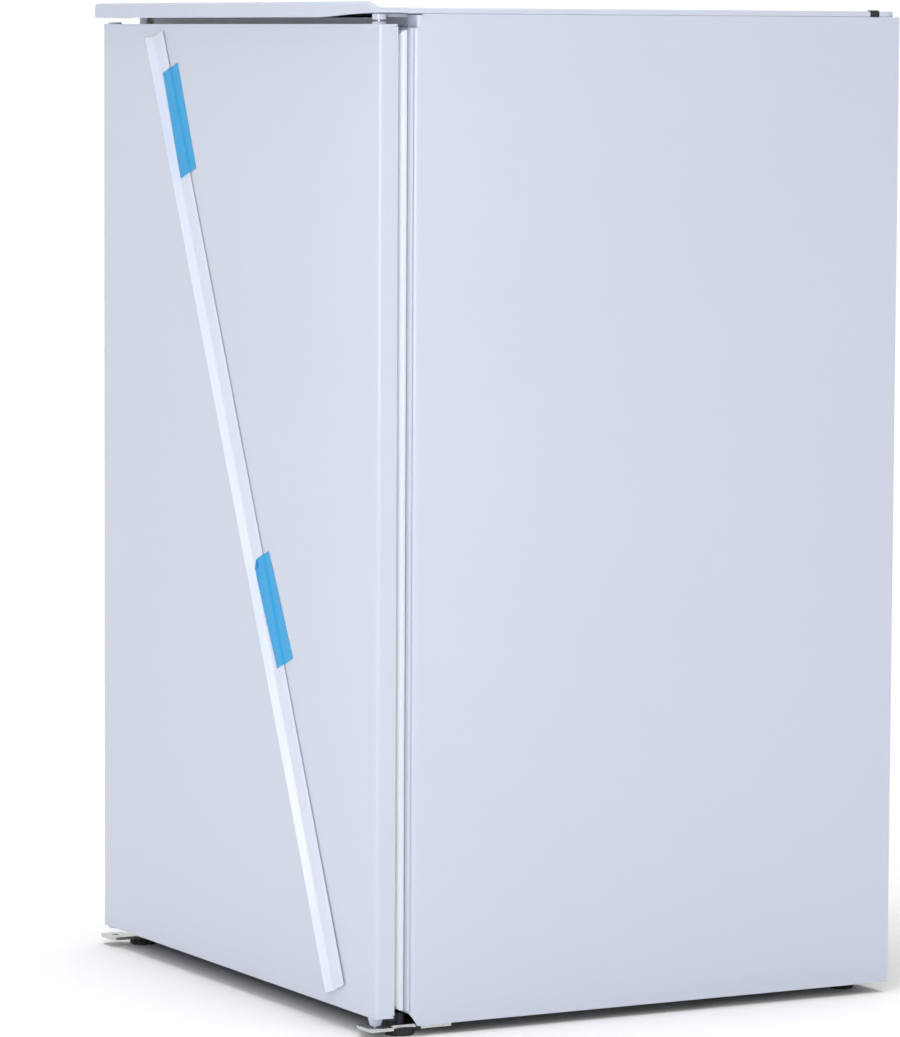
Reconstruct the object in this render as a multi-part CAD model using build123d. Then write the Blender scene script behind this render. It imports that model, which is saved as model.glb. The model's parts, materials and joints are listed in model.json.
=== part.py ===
from build123d import *
import math
import os

# Under-counter mini fridge with one right-hinged door. Millimetres, +Z up.
# Origin: floor level, middle of the overall width and depth. The door faces -Y.

# Overall size
WIDTH = 527.0
HEIGHT = 840.0
DEPTH = 548.0
HALF_W = WIDTH / 2
NOSE_FRONT = -DEPTH / 2
LIP_THICK = 4.0
NOSE_PROUD = 8.0

# Door
DOOR_FRONT = NOSE_FRONT + NOSE_PROUD
DOOR_BOTTOM = 17.0
DOOR_TOP = 822.0
PAN_DEPTH = 16.3
PAN_SHEET = 0.8
PAN_RADIUS = 3.0
CAP_EDGE = 1.7
CAP_PLUG = 8.0
DOOR_BACK = DOOR_FRONT + PAN_DEPTH
LINER_BASE = 1.2
DIKE_WALL = 1.5
DIKE_BACK = -195.0
DIKE_OUTER_X = 212.0
DIKE_INNER_X = 190.0
DIKE_LOW, DIKE_HIGH = 76.0, 770.0
DIKE_WIDTH = DIKE_OUTER_X - DIKE_INNER_X

# Hinge axis and its round parts
HINGE_X = HALF_W - 12.0
HINGE_Y = DOOR_FRONT + 6.0
PIN_R = 3.0
RUN_CLEAR = 0.08
COLLAR_R = 5.7
BUSH_BODY_R = 4.8

# Cabinet shell
CAB_FRONT = -237.0
CAB_BACK = DOOR_FRONT + 494.0
CAB_BOTTOM = 9.0
CAB_TOP = 830.5
SHEET = 0.7
FLANGE = 20.0
BEND_R = 5.0
POST_THICK = 2.4
POST_FRONT_IN = 240.0
POST_LOW, POST_HIGH = 21.4, 819.0
PANEL_FRONT = CAB_FRONT + POST_THICK
NOTCH_BACK = PANEL_FRONT + 8.0
FLOOR_Z = 20.3
TOP_SHEET = 827.5
INSIDE_X = HALF_W - SHEET

# Cold space inside the liner
LINER = 1.0
ROOM_X = 222.5
ROOM_BACK = 183.0
ROOM_LOW, ROOM_HIGH = 60.0, 785.0
STEP_FRONT = 35.0
STEP_TOP = 225.0

# Compressor bay behind and under the step
BAY_FRONT = 78.0
BAY_TOP = 185.0

# Cold room fittings
SHELF_FRONT = -148.0
SHELF_X = 218.0
SHELF_GLASS = 4.0
SHELF_LEVELS = (370.0, 500.0)
CRISPER_LID_Z = 226.0
RIB_REACH = 8.5
RIB_HIGH = 6.0
ICEBOX_X = 200.0
ICEBOX_FRONT, ICEBOX_BACK = -52.0, 165.0
ICEBOX_LOW, ICEBOX_HIGH = 655.0, 772.0
ICEBOX_SHEET = 2.0
FLAP_AXIS_Y, FLAP_AXIS_Z = -58.0, 764.0
FLAP_X = 203.0
FLAP_LOW = 657.0
FLAP_THICK = 8.0
FLAP_PIN_R = 2.5
EAR_IN, EAR_OUT = 204.0, 210.0
KNOB_Y, KNOB_Z = -70.0, 582.0
KNOB_R = 18.0
SWITCH_X, SWITCH_Z = 115.0, 762.0
PLUNGER_R = 4.0

# Compressor
COMP_X, COMP_Y = 95.0, 152.0
COMP_LOW, COMP_HIGH = 22.0, 160.0

# Feet, coil and strip
FOOT_X, FOOT_Y = 246.0, -235.0
FOOT_R = 12.0
PLATE_THICK = 2.6
PLATE_LOW = CAB_BOTTOM - PLATE_THICK
STUD_R = 4.0
TUBE_R = 2.4
WIRE_R = 0.8
WIRE_OFFSET = TUBE_R + WIRE_R + 0.05
COIL_Y = DEPTH / 2 - WIRE_OFFSET - WIRE_R
COIL_ROWS = 13
COIL_PITCH = 44.0
COIL_LOW = 218.0
COIL_TOP = COIL_LOW + (COIL_ROWS - 1) * COIL_PITCH
COIL_HALF = 168.0
COIL_STRAIGHT = COIL_HALF - COIL_PITCH / 2
RISER_X = COIL_HALF + 8
WIRE_PITCH = 12
WIRE_PAIRS = 12
CLIP_X = (WIRE_PAIRS - 0.5) * WIRE_PITCH
STRIP_TOP = (-156.7, 810.7)
STRIP_LOW = (192.5, 29.8)
STRIP_FLAT = 19.0
STRIP_THICK = 1.2
TAPE_THICK = 0.2
TAPE_LONG = 97.0
TAPE_NEAR, TAPE_FAR = 3.4, 32.8
TAPE_STARTS = (38.0, 481.8)

os.makedirs("parts", exist_ok=True)


def block(x0, x1, y0, y1, z0, z1):
    """Box between two corners."""
    middle = Pos((x0 + x1) / 2, (y0 + y1) / 2, (z0 + z1) / 2)
    return middle * Box(x1 - x0, y1 - y0, z1 - z0)


def disc(x, y, z0, z1, radius):
    """Upright cylinder from z0 to z1."""
    return Pos(x, y, (z0 + z1) / 2) * Cylinder(radius, z1 - z0)


def rod_x(x0, x1, y, z, radius):
    """Cylinder along X."""
    return Pos((x0 + x1) / 2, y, z) * Rot(0, 90, 0) * Cylinder(radius, x1 - x0)


def rod_y(x, y0, y1, z, radius):
    """Cylinder along Y."""
    return Pos(x, (y0 + y1) / 2, z) * Rot(90, 0, 0) * Cylinder(radius, y1 - y0)


def pair(shape):
    """The shape and its mirror image in the middle plane, as two solids."""
    return Compound(children=[shape, mirror(shape, Plane.YZ)])


def group(shapes):
    """Separate solids kept together as one node."""
    return Compound(children=list(shapes))


def upright_edges(shape, x=None, y=None):
    """Edges along Z, at one x or y when those are given."""
    edges = shape.edges().filter_by(Axis.Z)
    if x is not None:
        edges = edges.filter_by(lambda edge: abs(edge.center().X - x) < 0.01)
    if y is not None:
        edges = edges.filter_by(lambda edge: abs(edge.center().Y - y) < 0.01)
    return edges


def frame_ring(half_x, z0, z1, width, y0, y1):
    """Rectangular picture-frame ring lying in the plane of the door."""
    inner = block(-half_x + width, half_x - width, y0 - 1, y1 + 1, z0 + width, z1 - width)
    return block(-half_x, half_x, y0, y1, z0, z1) - inner


def open_tray(x0, x1, y0, y1, z0, z1, wall):
    """Box open at the top."""
    inner = block(x0 + wall, x1 - wall, y0 + wall, y1 - wall, z0 + wall, z1 + 1)
    return block(x0, x1, y0, y1, z0, z1) - inner


def bent_tube(points, bend, radius):
    """Round tube along straight runs joined by tangent arcs."""
    path = FilletPolyline(*points, radius=bend)
    start = Plane(origin=path @ 0, z_dir=path % 0)
    return sweep(start * Circle(radius), path=path)


# ---------------------------------------------------------------- cabinet shell


def side_panel_right():
    """Painted side sheet with a rounded front bend and an inward front flange."""
    outer = block(HALF_W - FLANGE, HALF_W, PANEL_FRONT, CAB_BACK, CAB_BOTTOM, CAB_TOP)
    outer = fillet(upright_edges(outer, x=HALF_W, y=PANEL_FRONT), BEND_R)
    hollow_front = PANEL_FRONT + SHEET
    hollow = block(HALF_W - FLANGE - 1, INSIDE_X, hollow_front, CAB_BACK + 1, 0, HEIGHT)
    hollow = fillet(upright_edges(hollow, x=INSIDE_X, y=hollow_front), BEND_R - SHEET)
    notch = block(HALF_W - 30, HALF_W + 1, PANEL_FRONT - 1, NOTCH_BACK, POST_HIGH, HEIGHT)
    slant = Polyline(
        (0, PANEL_FRONT - 1, CAB_BOTTOM - 1),
        (0, PANEL_FRONT + 7, CAB_BOTTOM - 1),
        (0, PANEL_FRONT + 7, CAB_BOTTOM),
        (0, PANEL_FRONT - 1, POST_LOW),
        close=True,
    )
    corner = extrude(make_face(slant), amount=HALF_W + 1, dir=(1, 0, 0))
    panel = outer - hollow - notch - corner
    top_edge = panel.edges().filter_by(Axis.Y).filter_by(
        lambda edge: edge.center().X > HALF_W - 0.01 and edge.center().Z > CAB_TOP - 0.01
    )
    return chamfer(top_edge, 0.5)


def top_panel():
    """Inner top sheet, sunk between the side sheets."""
    sheet = block(-INSIDE_X, INSIDE_X, PANEL_FRONT + 8, CAB_BACK - SHEET, TOP_SHEET - SHEET, TOP_SHEET)
    return sheet - hinge_screws()


def rear_panel():
    """Flat rear sheet above the compressor bay."""
    return block(-INSIDE_X, INSIDE_X, CAB_BACK - SHEET, CAB_BACK, BAY_TOP, TOP_SHEET - SHEET)


def bottom_panel():
    """One bent sheet: the floor, the riser and the roof of the compressor bay."""
    floor = block(-INSIDE_X, INSIDE_X, PANEL_FRONT + 8, BAY_FRONT, FLOOR_Z, FLOOR_Z + SHEET)
    riser = block(-INSIDE_X, INSIDE_X, BAY_FRONT - SHEET, BAY_FRONT, FLOOR_Z, BAY_TOP)
    roof_low = BAY_TOP - SHEET
    roof = block(-INSIDE_X, INSIDE_X, BAY_FRONT - SHEET, CAB_BACK - SHEET, roof_low, BAY_TOP)
    return floor + riser + roof - drain_tube_bore()


def base_plate():
    """Steel plate that carries the compressor, tied between the side sheets."""
    plate = block(-INSIDE_X, INSIDE_X, BAY_FRONT - 18, CAB_BACK - 1, CAB_BOTTOM, CAB_BOTTOM + 1.5)
    lip = block(-INSIDE_X, INSIDE_X, CAB_BACK - 2.5, CAB_BACK - 1, CAB_BOTTOM, CAB_BOTTOM + 14)
    vents = [
        block(x - 4, x + 4, BAY_FRONT + 30, CAB_BACK - 30, 0, 20)
        for x in range(-220, -20, 25)
    ]
    return plate + lip - vents - compressor_bolts()


def cabinet_foam():
    """Insulation between the outer sheets and the liner."""
    front = PANEL_FRONT + 8
    back = CAB_BACK - SHEET
    body = block(-INSIDE_X, INSIDE_X, front, back, FLOOR_Z + SHEET, TOP_SHEET - SHEET)
    bay = block(-INSIDE_X - 1, INSIDE_X + 1, BAY_FRONT - SHEET, back + 1, 0, BAY_TOP)
    return body - bay - room_solid(LINER) - drain_tube_bore() - hinge_screws()


def room_solid(grow):
    """The cold room as a solid, grown by the liner wall."""
    x = ROOM_X + grow
    back = ROOM_BACK + grow
    room = block(-x, x, CAB_FRONT - 1, back, ROOM_LOW - grow, ROOM_HIGH + grow)
    step_front = STEP_FRONT + grow
    step = block(-x - 1, x + 1, step_front, back + 1, ROOM_LOW - grow - 1, STEP_TOP - grow)
    return room - step


def cabinet_liner():
    """White plastic liner with its front flange and the moulded shelf ribs."""
    flange_back = CAB_FRONT + LINER_BASE
    flange = block(
        -POST_FRONT_IN, POST_FRONT_IN, CAB_FRONT, flange_back, ROOM_LOW - 12, ROOM_HIGH + 8
    )
    x = ROOM_X + LINER
    shell = room_solid(LINER) & block(-x, x, CAB_FRONT, HEIGHT, 0, HEIGHT)
    ribs = []
    for level in (CRISPER_LID_Z,) + SHELF_LEVELS:
        rib_back = ROOM_BACK if level > STEP_TOP + 5 else STEP_FRONT
        rib = block(
            ROOM_X - RIB_REACH, ROOM_X + LINER / 2, SHELF_FRONT + 8, rib_back, level - RIB_HIGH, level
        )
        ribs += [rib, mirror(rib, Plane.YZ)]
    return flange + shell - room_solid(0) + ribs - drain_tube_bore()


def front_posts():
    """White plastic strips down both sides of the cabinet front."""
    post = block(
        POST_FRONT_IN, HALF_W - 1, CAB_FRONT, PANEL_FRONT, POST_LOW, POST_HIGH
    )
    return pair(fillet(upright_edges(post, y=CAB_FRONT), 0.8))


def front_rail_top():
    """Painted cross rail over the door opening, stepped back above the gasket."""
    x = POST_FRONT_IN
    face = block(-x, x, CAB_FRONT, CAB_FRONT + 1, ROOM_HIGH + 8, POST_HIGH - 1)
    ledge = block(-x, x, CAB_FRONT, CAB_FRONT + 10.4, POST_HIGH - 2, POST_HIGH - 1)
    riser = block(-x, x, CAB_FRONT + 9.4, CAB_FRONT + 10.4, POST_HIGH - 2, TOP_SHEET - SHEET)
    return face + ledge + riser


def front_rail_bottom():
    """Painted cross rail under the door opening."""
    x = POST_FRONT_IN
    face = block(-x, x, CAB_FRONT, CAB_FRONT + 1, POST_LOW, ROOM_LOW - 12)
    foot = block(-x, x, CAB_FRONT, PANEL_FRONT + 8, POST_LOW, POST_LOW + 1)
    return face + foot


def corner_blocks():
    """Plastic blocks that close the two upper front corners of the cabinet."""
    front = CAB_FRONT + 5.6
    plug = block(HALF_W - 17.5, HALF_W, front, NOTCH_BACK, POST_HIGH, CAB_TOP - 1)
    plug = fillet(upright_edges(plug, x=HALF_W, y=front), 3.0)
    return pair(fillet(upright_edges(plug, x=HALF_W - 17.5, y=front), 1.0))


def crossmember_front():
    """Dark steel channel under the front of the cabinet, which carries the corner plates."""
    x = INSIDE_X
    outer = block(-x, x, CAB_FRONT + 1, CAB_FRONT + 37, CAB_BOTTOM, FLOOR_Z)
    hollow = block(-x - 1, x + 1, CAB_FRONT + 3, CAB_FRONT + 35, CAB_BOTTOM + 2, FLOOR_Z - 2)
    slant = block(POST_FRONT_IN, HALF_W, CAB_FRONT, PANEL_FRONT + 8, CAB_BOTTOM, FLOOR_Z)
    return outer - hollow - pair(slant) - hinge_screws()


# ---------------------------------------------------------------- worktop


def worktop():
    """Moulded worktop with rounded rear corners and ribs that rest on the top sheet."""
    front = NOSE_FRONT + 34
    slab = block(-HALF_W, HALF_W, front, CAB_BACK, CAB_TOP, CAB_TOP + 4.7)
    slab = fillet(upright_edges(slab, y=CAB_BACK), 14)
    top_edges = slab.faces().sort_by(Axis.Z)[-1].edges().filter_by(
        lambda edge: edge.center().Y > front + 1
    )
    slab = fillet(top_edges, 1.5)
    low_edges = slab.faces().sort_by(Axis.Z)[0].edges().filter_by(Axis.Y)
    slab = chamfer(low_edges, 0.8)
    ribs = [
        block(x - 1.5, x + 1.5, CAB_FRONT + 60, CAB_BACK - 20, TOP_SHEET, CAB_TOP)
        for x in (-150, 0, 150)
    ]
    clips = pair(clip_notch())
    return slab + ribs - clips


def clip_notch():
    """Space of one rear clip at the right-hand edge of the worktop."""
    return block(HALF_W - 6, HALF_W + 1, 199, 208, CAB_TOP - 1, HEIGHT)


def worktop_rear_clips():
    """Black clips that hold the worktop near its rear corners."""
    body = block(HALF_W - 6, HALF_W, 199, 208, CAB_TOP, CAB_TOP + 5.6)
    return pair(chamfer(body.faces().sort_by(Axis.Z)[-1].edges(), 1.0))


def worktop_front_rail():
    """Nosing along the front edge: a raised lip and a skirt swept up over the hinge."""
    rail_back = NOSE_FRONT + 34
    low, high = 827.3, HEIGHT
    outline = Polyline(
        (-HALF_W, NOSE_FRONT, low + 1.5),
        (-HALF_W + 1.5, NOSE_FRONT, low),
        (HALF_W - 95, NOSE_FRONT, low),
        (HALF_W - 80, NOSE_FRONT, low + 0.5),
        (HALF_W - 40, NOSE_FRONT, low + 2.4),
        (HALF_W, NOSE_FRONT, low + 3.9),
        (HALF_W, NOSE_FRONT, high - 4.5),
        (HALF_W - 8.5, NOSE_FRONT, high),
        (-HALF_W + 3, NOSE_FRONT, high),
        (-HALF_W, NOSE_FRONT, high - 3),
        close=True,
    )
    body = extrude(make_face(outline), amount=rail_back - NOSE_FRONT, dir=(0, 1, 0))
    skirt_back = NOSE_FRONT + LIP_THICK
    under = block(-HALF_W + 3, HALF_W + 1, skirt_back, rail_back + 1, low - 1, CAB_TOP)
    back_slope = Polyline(
        (-HALF_W - 1, NOSE_FRONT + LIP_THICK, high),
        (-HALF_W - 1, rail_back + 1, high),
        (-HALF_W - 1, rail_back + 1, CAB_TOP + 4.7),
        (-HALF_W - 1, NOSE_FRONT + LIP_THICK + 5, CAB_TOP + 4.7),
        close=True,
    )
    slope = extrude(make_face(back_slope), amount=WIDTH + 2, dir=(1, 0, 0))
    body = body - under - slope
    front_top = body.edges().filter_by(Axis.X).group_by(Axis.Y)[0].sort_by(Axis.Z)[-1:]
    return fillet(front_top, 2.2)


# ---------------------------------------------------------------- hinges and feet


def hinge_bracket_top():
    """Steel arm from the cabinet top to the collar round the upper pin."""
    arm_in, arm_out = 236.0, 245.5
    z0, z1 = TOP_SHEET, 830.2
    plan = Polyline(
        (arm_in, -190, z0),
        (arm_out, -190, z0),
        (arm_out, HINGE_Y + 9, z0),
        (HINGE_X, HINGE_Y + COLLAR_R - 0.2, z0),
        (HINGE_X - COLLAR_R + 0.2, HINGE_Y, z0),
        (arm_in, HINGE_Y + 14, z0),
        close=True,
    )
    arm = extrude(make_face(plan), amount=z1 - z0, dir=(0, 0, 1))
    collar = disc(HINGE_X, HINGE_Y, 825.6, z1, COLLAR_R)
    return arm + collar - disc(HINGE_X, HINGE_Y, 800, HEIGHT, PIN_R) - hinge_screws()


def bottom_brackets():
    """Zinc plates under the front corners: both hold a foot, the right one the lower pin."""
    front = DOOR_FRONT - 4
    plate = block(HALF_W - 28.5, HALF_W - 0.5, front, -196, PLATE_LOW, CAB_BOTTOM)
    plate = fillet(upright_edges(plate, y=front), 4)
    waist = HALF_W - 9.5
    plate -= block(waist, HALF_W, FOOT_Y - 14, FOOT_Y + 11, 0, FLOOR_Z)
    plate = fillet(upright_edges(plate, x=waist), 4)
    plate -= disc(HINGE_X, HINGE_Y, 0, FLOOR_Z, PIN_R)
    plate -= disc(FOOT_X, FOOT_Y, 0, FLOOR_Z, STUD_R + RUN_CLEAR)
    return pair(plate - hinge_screws())


def hinge_pins():
    """Upper and lower steel hinge pins."""
    upper = disc(HINGE_X, HINGE_Y, 808, 830.2, PIN_R)
    lower = disc(HINGE_X, HINGE_Y, PLATE_LOW, 29, PIN_R)
    return group([upper, lower])


def bush(z_flange0, z_flange1, z_body0, z_body1):
    """Plastic bush: a collar, a body sunk in the door and a running bore for the pin."""
    collar = disc(HINGE_X, HINGE_Y, z_flange0, z_flange1, COLLAR_R)
    body = disc(HINGE_X, HINGE_Y, z_body0, z_body1, BUSH_BODY_R)
    return collar + body - disc(HINGE_X, HINGE_Y, z_body0 - 20, z_body1 + 20, PIN_R + RUN_CLEAR)


def hinge_bushes():
    """White bushes in the top and bottom of the door."""
    top = bush(DOOR_TOP, DOOR_TOP + 1.8, 807.0, DOOR_TOP)
    taper = Pos(HINGE_X, HINGE_Y, 13.6) * Cone(4.6, 6.4, 6.8)
    low_body = disc(HINGE_X, HINGE_Y, DOOR_BOTTOM, 30.0, BUSH_BODY_R)
    bottom = taper + low_body - disc(HINGE_X, HINGE_Y, 0, 40, PIN_R + RUN_CLEAR)
    return group([top, bottom])


def screw(x, y, z_head, z_tip, radius=2.0, head_r=3.6, head=1.4):
    """Countersunk screw with a flat head, pointing from z_head to z_tip."""
    step = math.copysign(head, z_tip - z_head)
    shank = disc(x, y, min(z_head, z_tip), max(z_head, z_tip), radius)
    cap = disc(x, y, min(z_head, z_head + step), max(z_head, z_head + step), head_r)
    return shank + cap


def hinge_screws():
    """Screws of the top arm and of both bottom plates."""
    top = [screw(240.75, y, 830.2, 812) for y in (-222, -200)]
    bottom = [
        screw(side * (HALF_W - 14), y, PLATE_LOW, 16)
        for side in (-1, 1)
        for y in (-222, -208)
    ]
    return group(top + bottom)


def foot(side):
    """Black levelling foot: a fluted pad with its threaded stud."""
    pad = disc(side * FOOT_X, FOOT_Y, 0, PLATE_LOW - 0.2, FOOT_R)
    pad = chamfer(pad.faces().sort_by(Axis.Z)[0].edges(), 1.0)
    flutes = []
    for turn in range(0, 360, 30):
        angle = math.radians(turn)
        x = side * FOOT_X + (FOOT_R + 0.6) * math.cos(angle)
        y = FOOT_Y + (FOOT_R + 0.6) * math.sin(angle)
        flutes.append(disc(x, y, -1, CAB_BOTTOM, 1.2))
    stud = disc(side * FOOT_X, FOOT_Y, PLATE_LOW - 0.5, 18.0, STUD_R)
    return pad - flutes + stud


def rear_feet():
    """Fixed black feet under the compressor plate."""
    pad = disc(225, 205, 0, CAB_BOTTOM, 12)
    return pair(chamfer(pad.faces().sort_by(Axis.Z)[0].edges(), 1.5))


# ---------------------------------------------------------------- door


def door_block(z0, z1, inset, back):
    """Door-shaped block with rounded front corners, inset all round."""
    body = block(-HALF_W + inset, HALF_W - inset, DOOR_FRONT + inset, back, z0, z1)
    return fillet(upright_edges(body, y=DOOR_FRONT + inset), max(PAN_RADIUS - inset, 0.5))


def door_skin():
    """Painted steel pan: the front sheet and its two wrapped sides."""
    z0, z1 = DOOR_BOTTOM + CAP_EDGE, DOOR_TOP - CAP_EDGE
    pan = door_block(z0, z1, 0, DOOR_BACK)
    for z in (z0, z1):
        rear = pan.edges().filter_by(Axis.X).filter_by(
            lambda edge: abs(edge.center().Y - DOOR_BACK) < 0.01 and abs(edge.center().Z - z) < 0.01
        )
        pan = fillet(rear, 3.0)
    return pan - door_block(z0 - 1, z1 + 1, PAN_SHEET, DOOR_BACK + 1)


def door_caps():
    """White plastic caps that close the top and bottom of the pan."""
    caps = []
    for edge, inward in ((DOOR_BOTTOM, 1), (DOOR_TOP, -1)):
        seat = edge + inward * CAP_EDGE
        plug = seat + inward * CAP_PLUG
        rim = door_block(min(edge, seat), max(edge, seat), 0, DOOR_BACK)
        inner = door_block(min(seat, plug), max(seat, plug), PAN_SHEET, DOOR_BACK - 1)
        caps.append(rim + inner - bush_bores() - plug_bores())
    return group(caps)


def bush_bores():
    """Holes in the door for the two bushes in use."""
    return [
        disc(HINGE_X, HINGE_Y, 807.0, DOOR_TOP + 5, BUSH_BODY_R),
        disc(HINGE_X, HINGE_Y, DOOR_BOTTOM - 5, 30.0, BUSH_BODY_R),
    ]


def plug_bores():
    """Spare bush holes on the left of the door."""
    return [
        disc(-HINGE_X, HINGE_Y, 807.0, DOOR_TOP + 5, BUSH_BODY_R),
        disc(-HINGE_X, HINGE_Y, DOOR_BOTTOM - 5, 30.0, BUSH_BODY_R),
    ]


def door_hole_plugs():
    """White plugs in the spare bush holes."""
    top = disc(-HINGE_X, HINGE_Y, 809, DOOR_TOP, BUSH_BODY_R)
    top += disc(-HINGE_X, HINGE_Y, DOOR_TOP, DOOR_TOP + 1.5, 6.0)
    bottom = disc(-HINGE_X, HINGE_Y, DOOR_BOTTOM, 28, BUSH_BODY_R)
    bottom += disc(-HINGE_X, HINGE_Y, DOOR_BOTTOM - 1.5, DOOR_BOTTOM, 6.0)
    return group([top, bottom])


def dike(inset, back):
    """Raised ring on the back of the door, inset for the foam inside it."""
    width = DIKE_WIDTH - 2 * inset
    return frame_ring(
        DIKE_OUTER_X - inset, DIKE_LOW + inset, DIKE_HIGH - inset, width, DOOR_BACK - 1, back
    )


def door_foam():
    """Insulation inside the pan and inside the raised ring."""
    plug = CAP_EDGE + CAP_PLUG
    fill = door_block(DOOR_BOTTOM + plug, DOOR_TOP - plug, PAN_SHEET, DOOR_BACK)
    return fill + dike(DIKE_WALL, DIKE_BACK - DIKE_WALL) - bush_bores() - plug_bores()


def door_liner():
    """White plastic inner door with the raised ring that holds the racks."""
    base_back = DOOR_BACK + LINER_BASE
    base = block(
        -HALF_W + 1, HALF_W - 1, DOOR_BACK, base_back, DOOR_BOTTOM + 2, DOOR_TOP - 2
    )
    ring = dike(0, DIKE_BACK) & block(-HALF_W, HALF_W, DOOR_BACK, 0, 0, HEIGHT)
    return base + ring - dike(DIKE_WALL, DIKE_BACK - DIKE_WALL)


def door_gasket():
    """Magnetic seal: a narrow foot on the door and a wider pocket that meets the cabinet."""
    inset = 4.8
    front = DOOR_BACK + LINER_BASE
    waist = DOOR_BACK + 5.2
    back = CAB_FRONT - 0.4
    foot_ring = frame_ring(
        HALF_W - inset - 2, DOOR_BOTTOM + inset + 2, DOOR_TOP - inset - 2, 15, front, waist
    )
    pocket = block(
        -HALF_W + inset, HALF_W - inset, waist, back, DOOR_BOTTOM + inset, DOOR_TOP - inset
    )
    pocket = fillet(pocket.edges().filter_by(Axis.Y), 3.0)
    pocket = fillet(pocket.faces().sort_by(Axis.Y)[-1].edges(), 4.9)
    width = 19.0
    hollow = block(
        -HALF_W + inset + width, HALF_W - inset - width, front - 1, back + 1,
        DOOR_BOTTOM + inset + width, DOOR_TOP - inset - width,
    )
    return foot_ring + (pocket - hollow)


def rack(floor_z, high, wall=2.0):
    """Door rack: a tray held between the two raised sides of the inner door."""
    front = DOOR_BACK + LINER_BASE
    tray = open_tray(
        -DIKE_INNER_X, DIKE_INNER_X, front, front + 88.5, floor_z, floor_z + high, wall
    )
    low_back = block(
        -DIKE_INNER_X - 1, DIKE_INNER_X + 1, front - 1, front + 60, floor_z + high * 0.75, HEIGHT
    )
    return tray - low_back


def racks_small():
    """Upper and middle racks, which are alike."""
    return group([rack(floor_z, 60.0) for floor_z in (330.0, 530.0)])


def rack_bottle():
    """Deep lower rack for bottles."""
    return rack(104.0, 98.0)


def along_strip(section, start, length):
    """Extrude a section along the line of the trim strip.

    Section points are (across, out): across the strip from its crease, and out from the door.
    """
    run_x = STRIP_LOW[0] - STRIP_TOP[0]
    run_z = STRIP_LOW[1] - STRIP_TOP[1]
    total = math.hypot(run_x, run_z)
    down = (run_x / total, run_z / total)
    side = (-down[1], down[0])
    origin_x = STRIP_TOP[0] + start * down[0]
    origin_z = STRIP_TOP[1] + start * down[1]
    points = [
        (origin_x + across * side[0], DOOR_FRONT - out, origin_z + across * side[1])
        for across, out in section
    ]
    face = make_face(Polyline(*points, close=True))
    return extrude(face, amount=length, dir=(down[0], 0, down[1]))


def loose_trim_strip():
    """Loose plastic angle, taped across the door for transport."""
    section = [
        (0.0, 0.0),
        (STRIP_FLAT, 0.0),
        (STRIP_FLAT, STRIP_THICK),
        (0.8, STRIP_THICK),
        (-2.5, 7.9),
        (-3.6, 7.4),
    ]
    length = math.dist(STRIP_TOP, STRIP_LOW)
    return along_strip(section, 0.0, length)


def door_tapes():
    """Two pieces of tape that hold the loose strip to the door."""
    over = STRIP_THICK + TAPE_THICK
    step = STRIP_FLAT + TAPE_THICK
    section = [
        (TAPE_NEAR, STRIP_THICK),
        (STRIP_FLAT, STRIP_THICK),
        (STRIP_FLAT, 0.0),
        (TAPE_FAR, 0.0),
        (TAPE_FAR, TAPE_THICK),
        (step, TAPE_THICK),
        (step, over),
        (TAPE_NEAR, over),
    ]
    return group([along_strip(section, start, TAPE_LONG) for start in TAPE_STARTS])


# ---------------------------------------------------------------- cold room fittings


def shelf_glasses():
    """Two glass shelves and the glass lid over the crisper."""
    plates = []
    for level in SHELF_LEVELS:
        plates.append(
            block(-SHELF_X, SHELF_X, SHELF_FRONT, ROOM_BACK - 8, level, level + SHELF_GLASS)
        )
    lid = block(
        -SHELF_X, SHELF_X, SHELF_FRONT, STEP_FRONT - 1, CRISPER_LID_Z, CRISPER_LID_Z + SHELF_GLASS
    )
    return group(plates + [lid])


def shelf_trims():
    """White plastic edgings clipped along the front of each glass."""
    trims = []
    for level in (CRISPER_LID_Z,) + SHELF_LEVELS:
        outer = block(
            -SHELF_X, SHELF_X, SHELF_FRONT - 4, SHELF_FRONT + 7, level - 4, level + SHELF_GLASS + 2
        )
        slot = block(
            -SHELF_X - 1, SHELF_X + 1, SHELF_FRONT, SHELF_FRONT + 8, level, level + SHELF_GLASS
        )
        trims.append(outer - slot)
    return group(trims)


def crisper_drawer():
    """Clear plastic drawer with a grip lip along the top of its front."""
    front, back = -122.0, 28.0
    tray = open_tray(-205, 205, front, back, 60.5, 215, 2.0)
    grip = block(-90, 90, front - 5, front, 203, 205) + block(-90, 90, front - 5, front - 3.4, 196, 205)
    return tray + grip


def icebox():
    """Folded aluminium evaporator that forms the walls of the freezer compartment."""
    outer = block(-ICEBOX_X, ICEBOX_X, ICEBOX_FRONT, ICEBOX_BACK, ICEBOX_LOW, ICEBOX_HIGH)
    outer = fillet(outer.edges().filter_by(Axis.Y), 8)
    wall = ICEBOX_SHEET
    inner = block(
        -ICEBOX_X + wall, ICEBOX_X - wall, ICEBOX_FRONT - 1, ICEBOX_BACK - wall,
        ICEBOX_LOW + wall, ICEBOX_HIGH - wall,
    )
    inner = fillet(inner.edges().filter_by(Axis.Y), 8 - wall)
    return outer - inner


def icebox_frame():
    """White hangers: side cheeks with the flap's pivot holes, and the drip tray's rails."""
    cheek = block(EAR_IN, EAR_OUT, -68, ICEBOX_BACK, 641, ROOM_HIGH)
    spacer = block(ICEBOX_X, EAR_IN, ICEBOX_FRONT + 12, ICEBOX_BACK, 672, 756)
    ledge = block(EAR_IN - 1.6, EAR_IN, -62, 150, 641, 643)
    pivot = rod_x(EAR_IN - 1, EAR_OUT + 1, FLAP_AXIS_Y, FLAP_AXIS_Z, FLAP_PIN_R + RUN_CLEAR)
    return pair(cheek + spacer + ledge - pivot)


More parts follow.
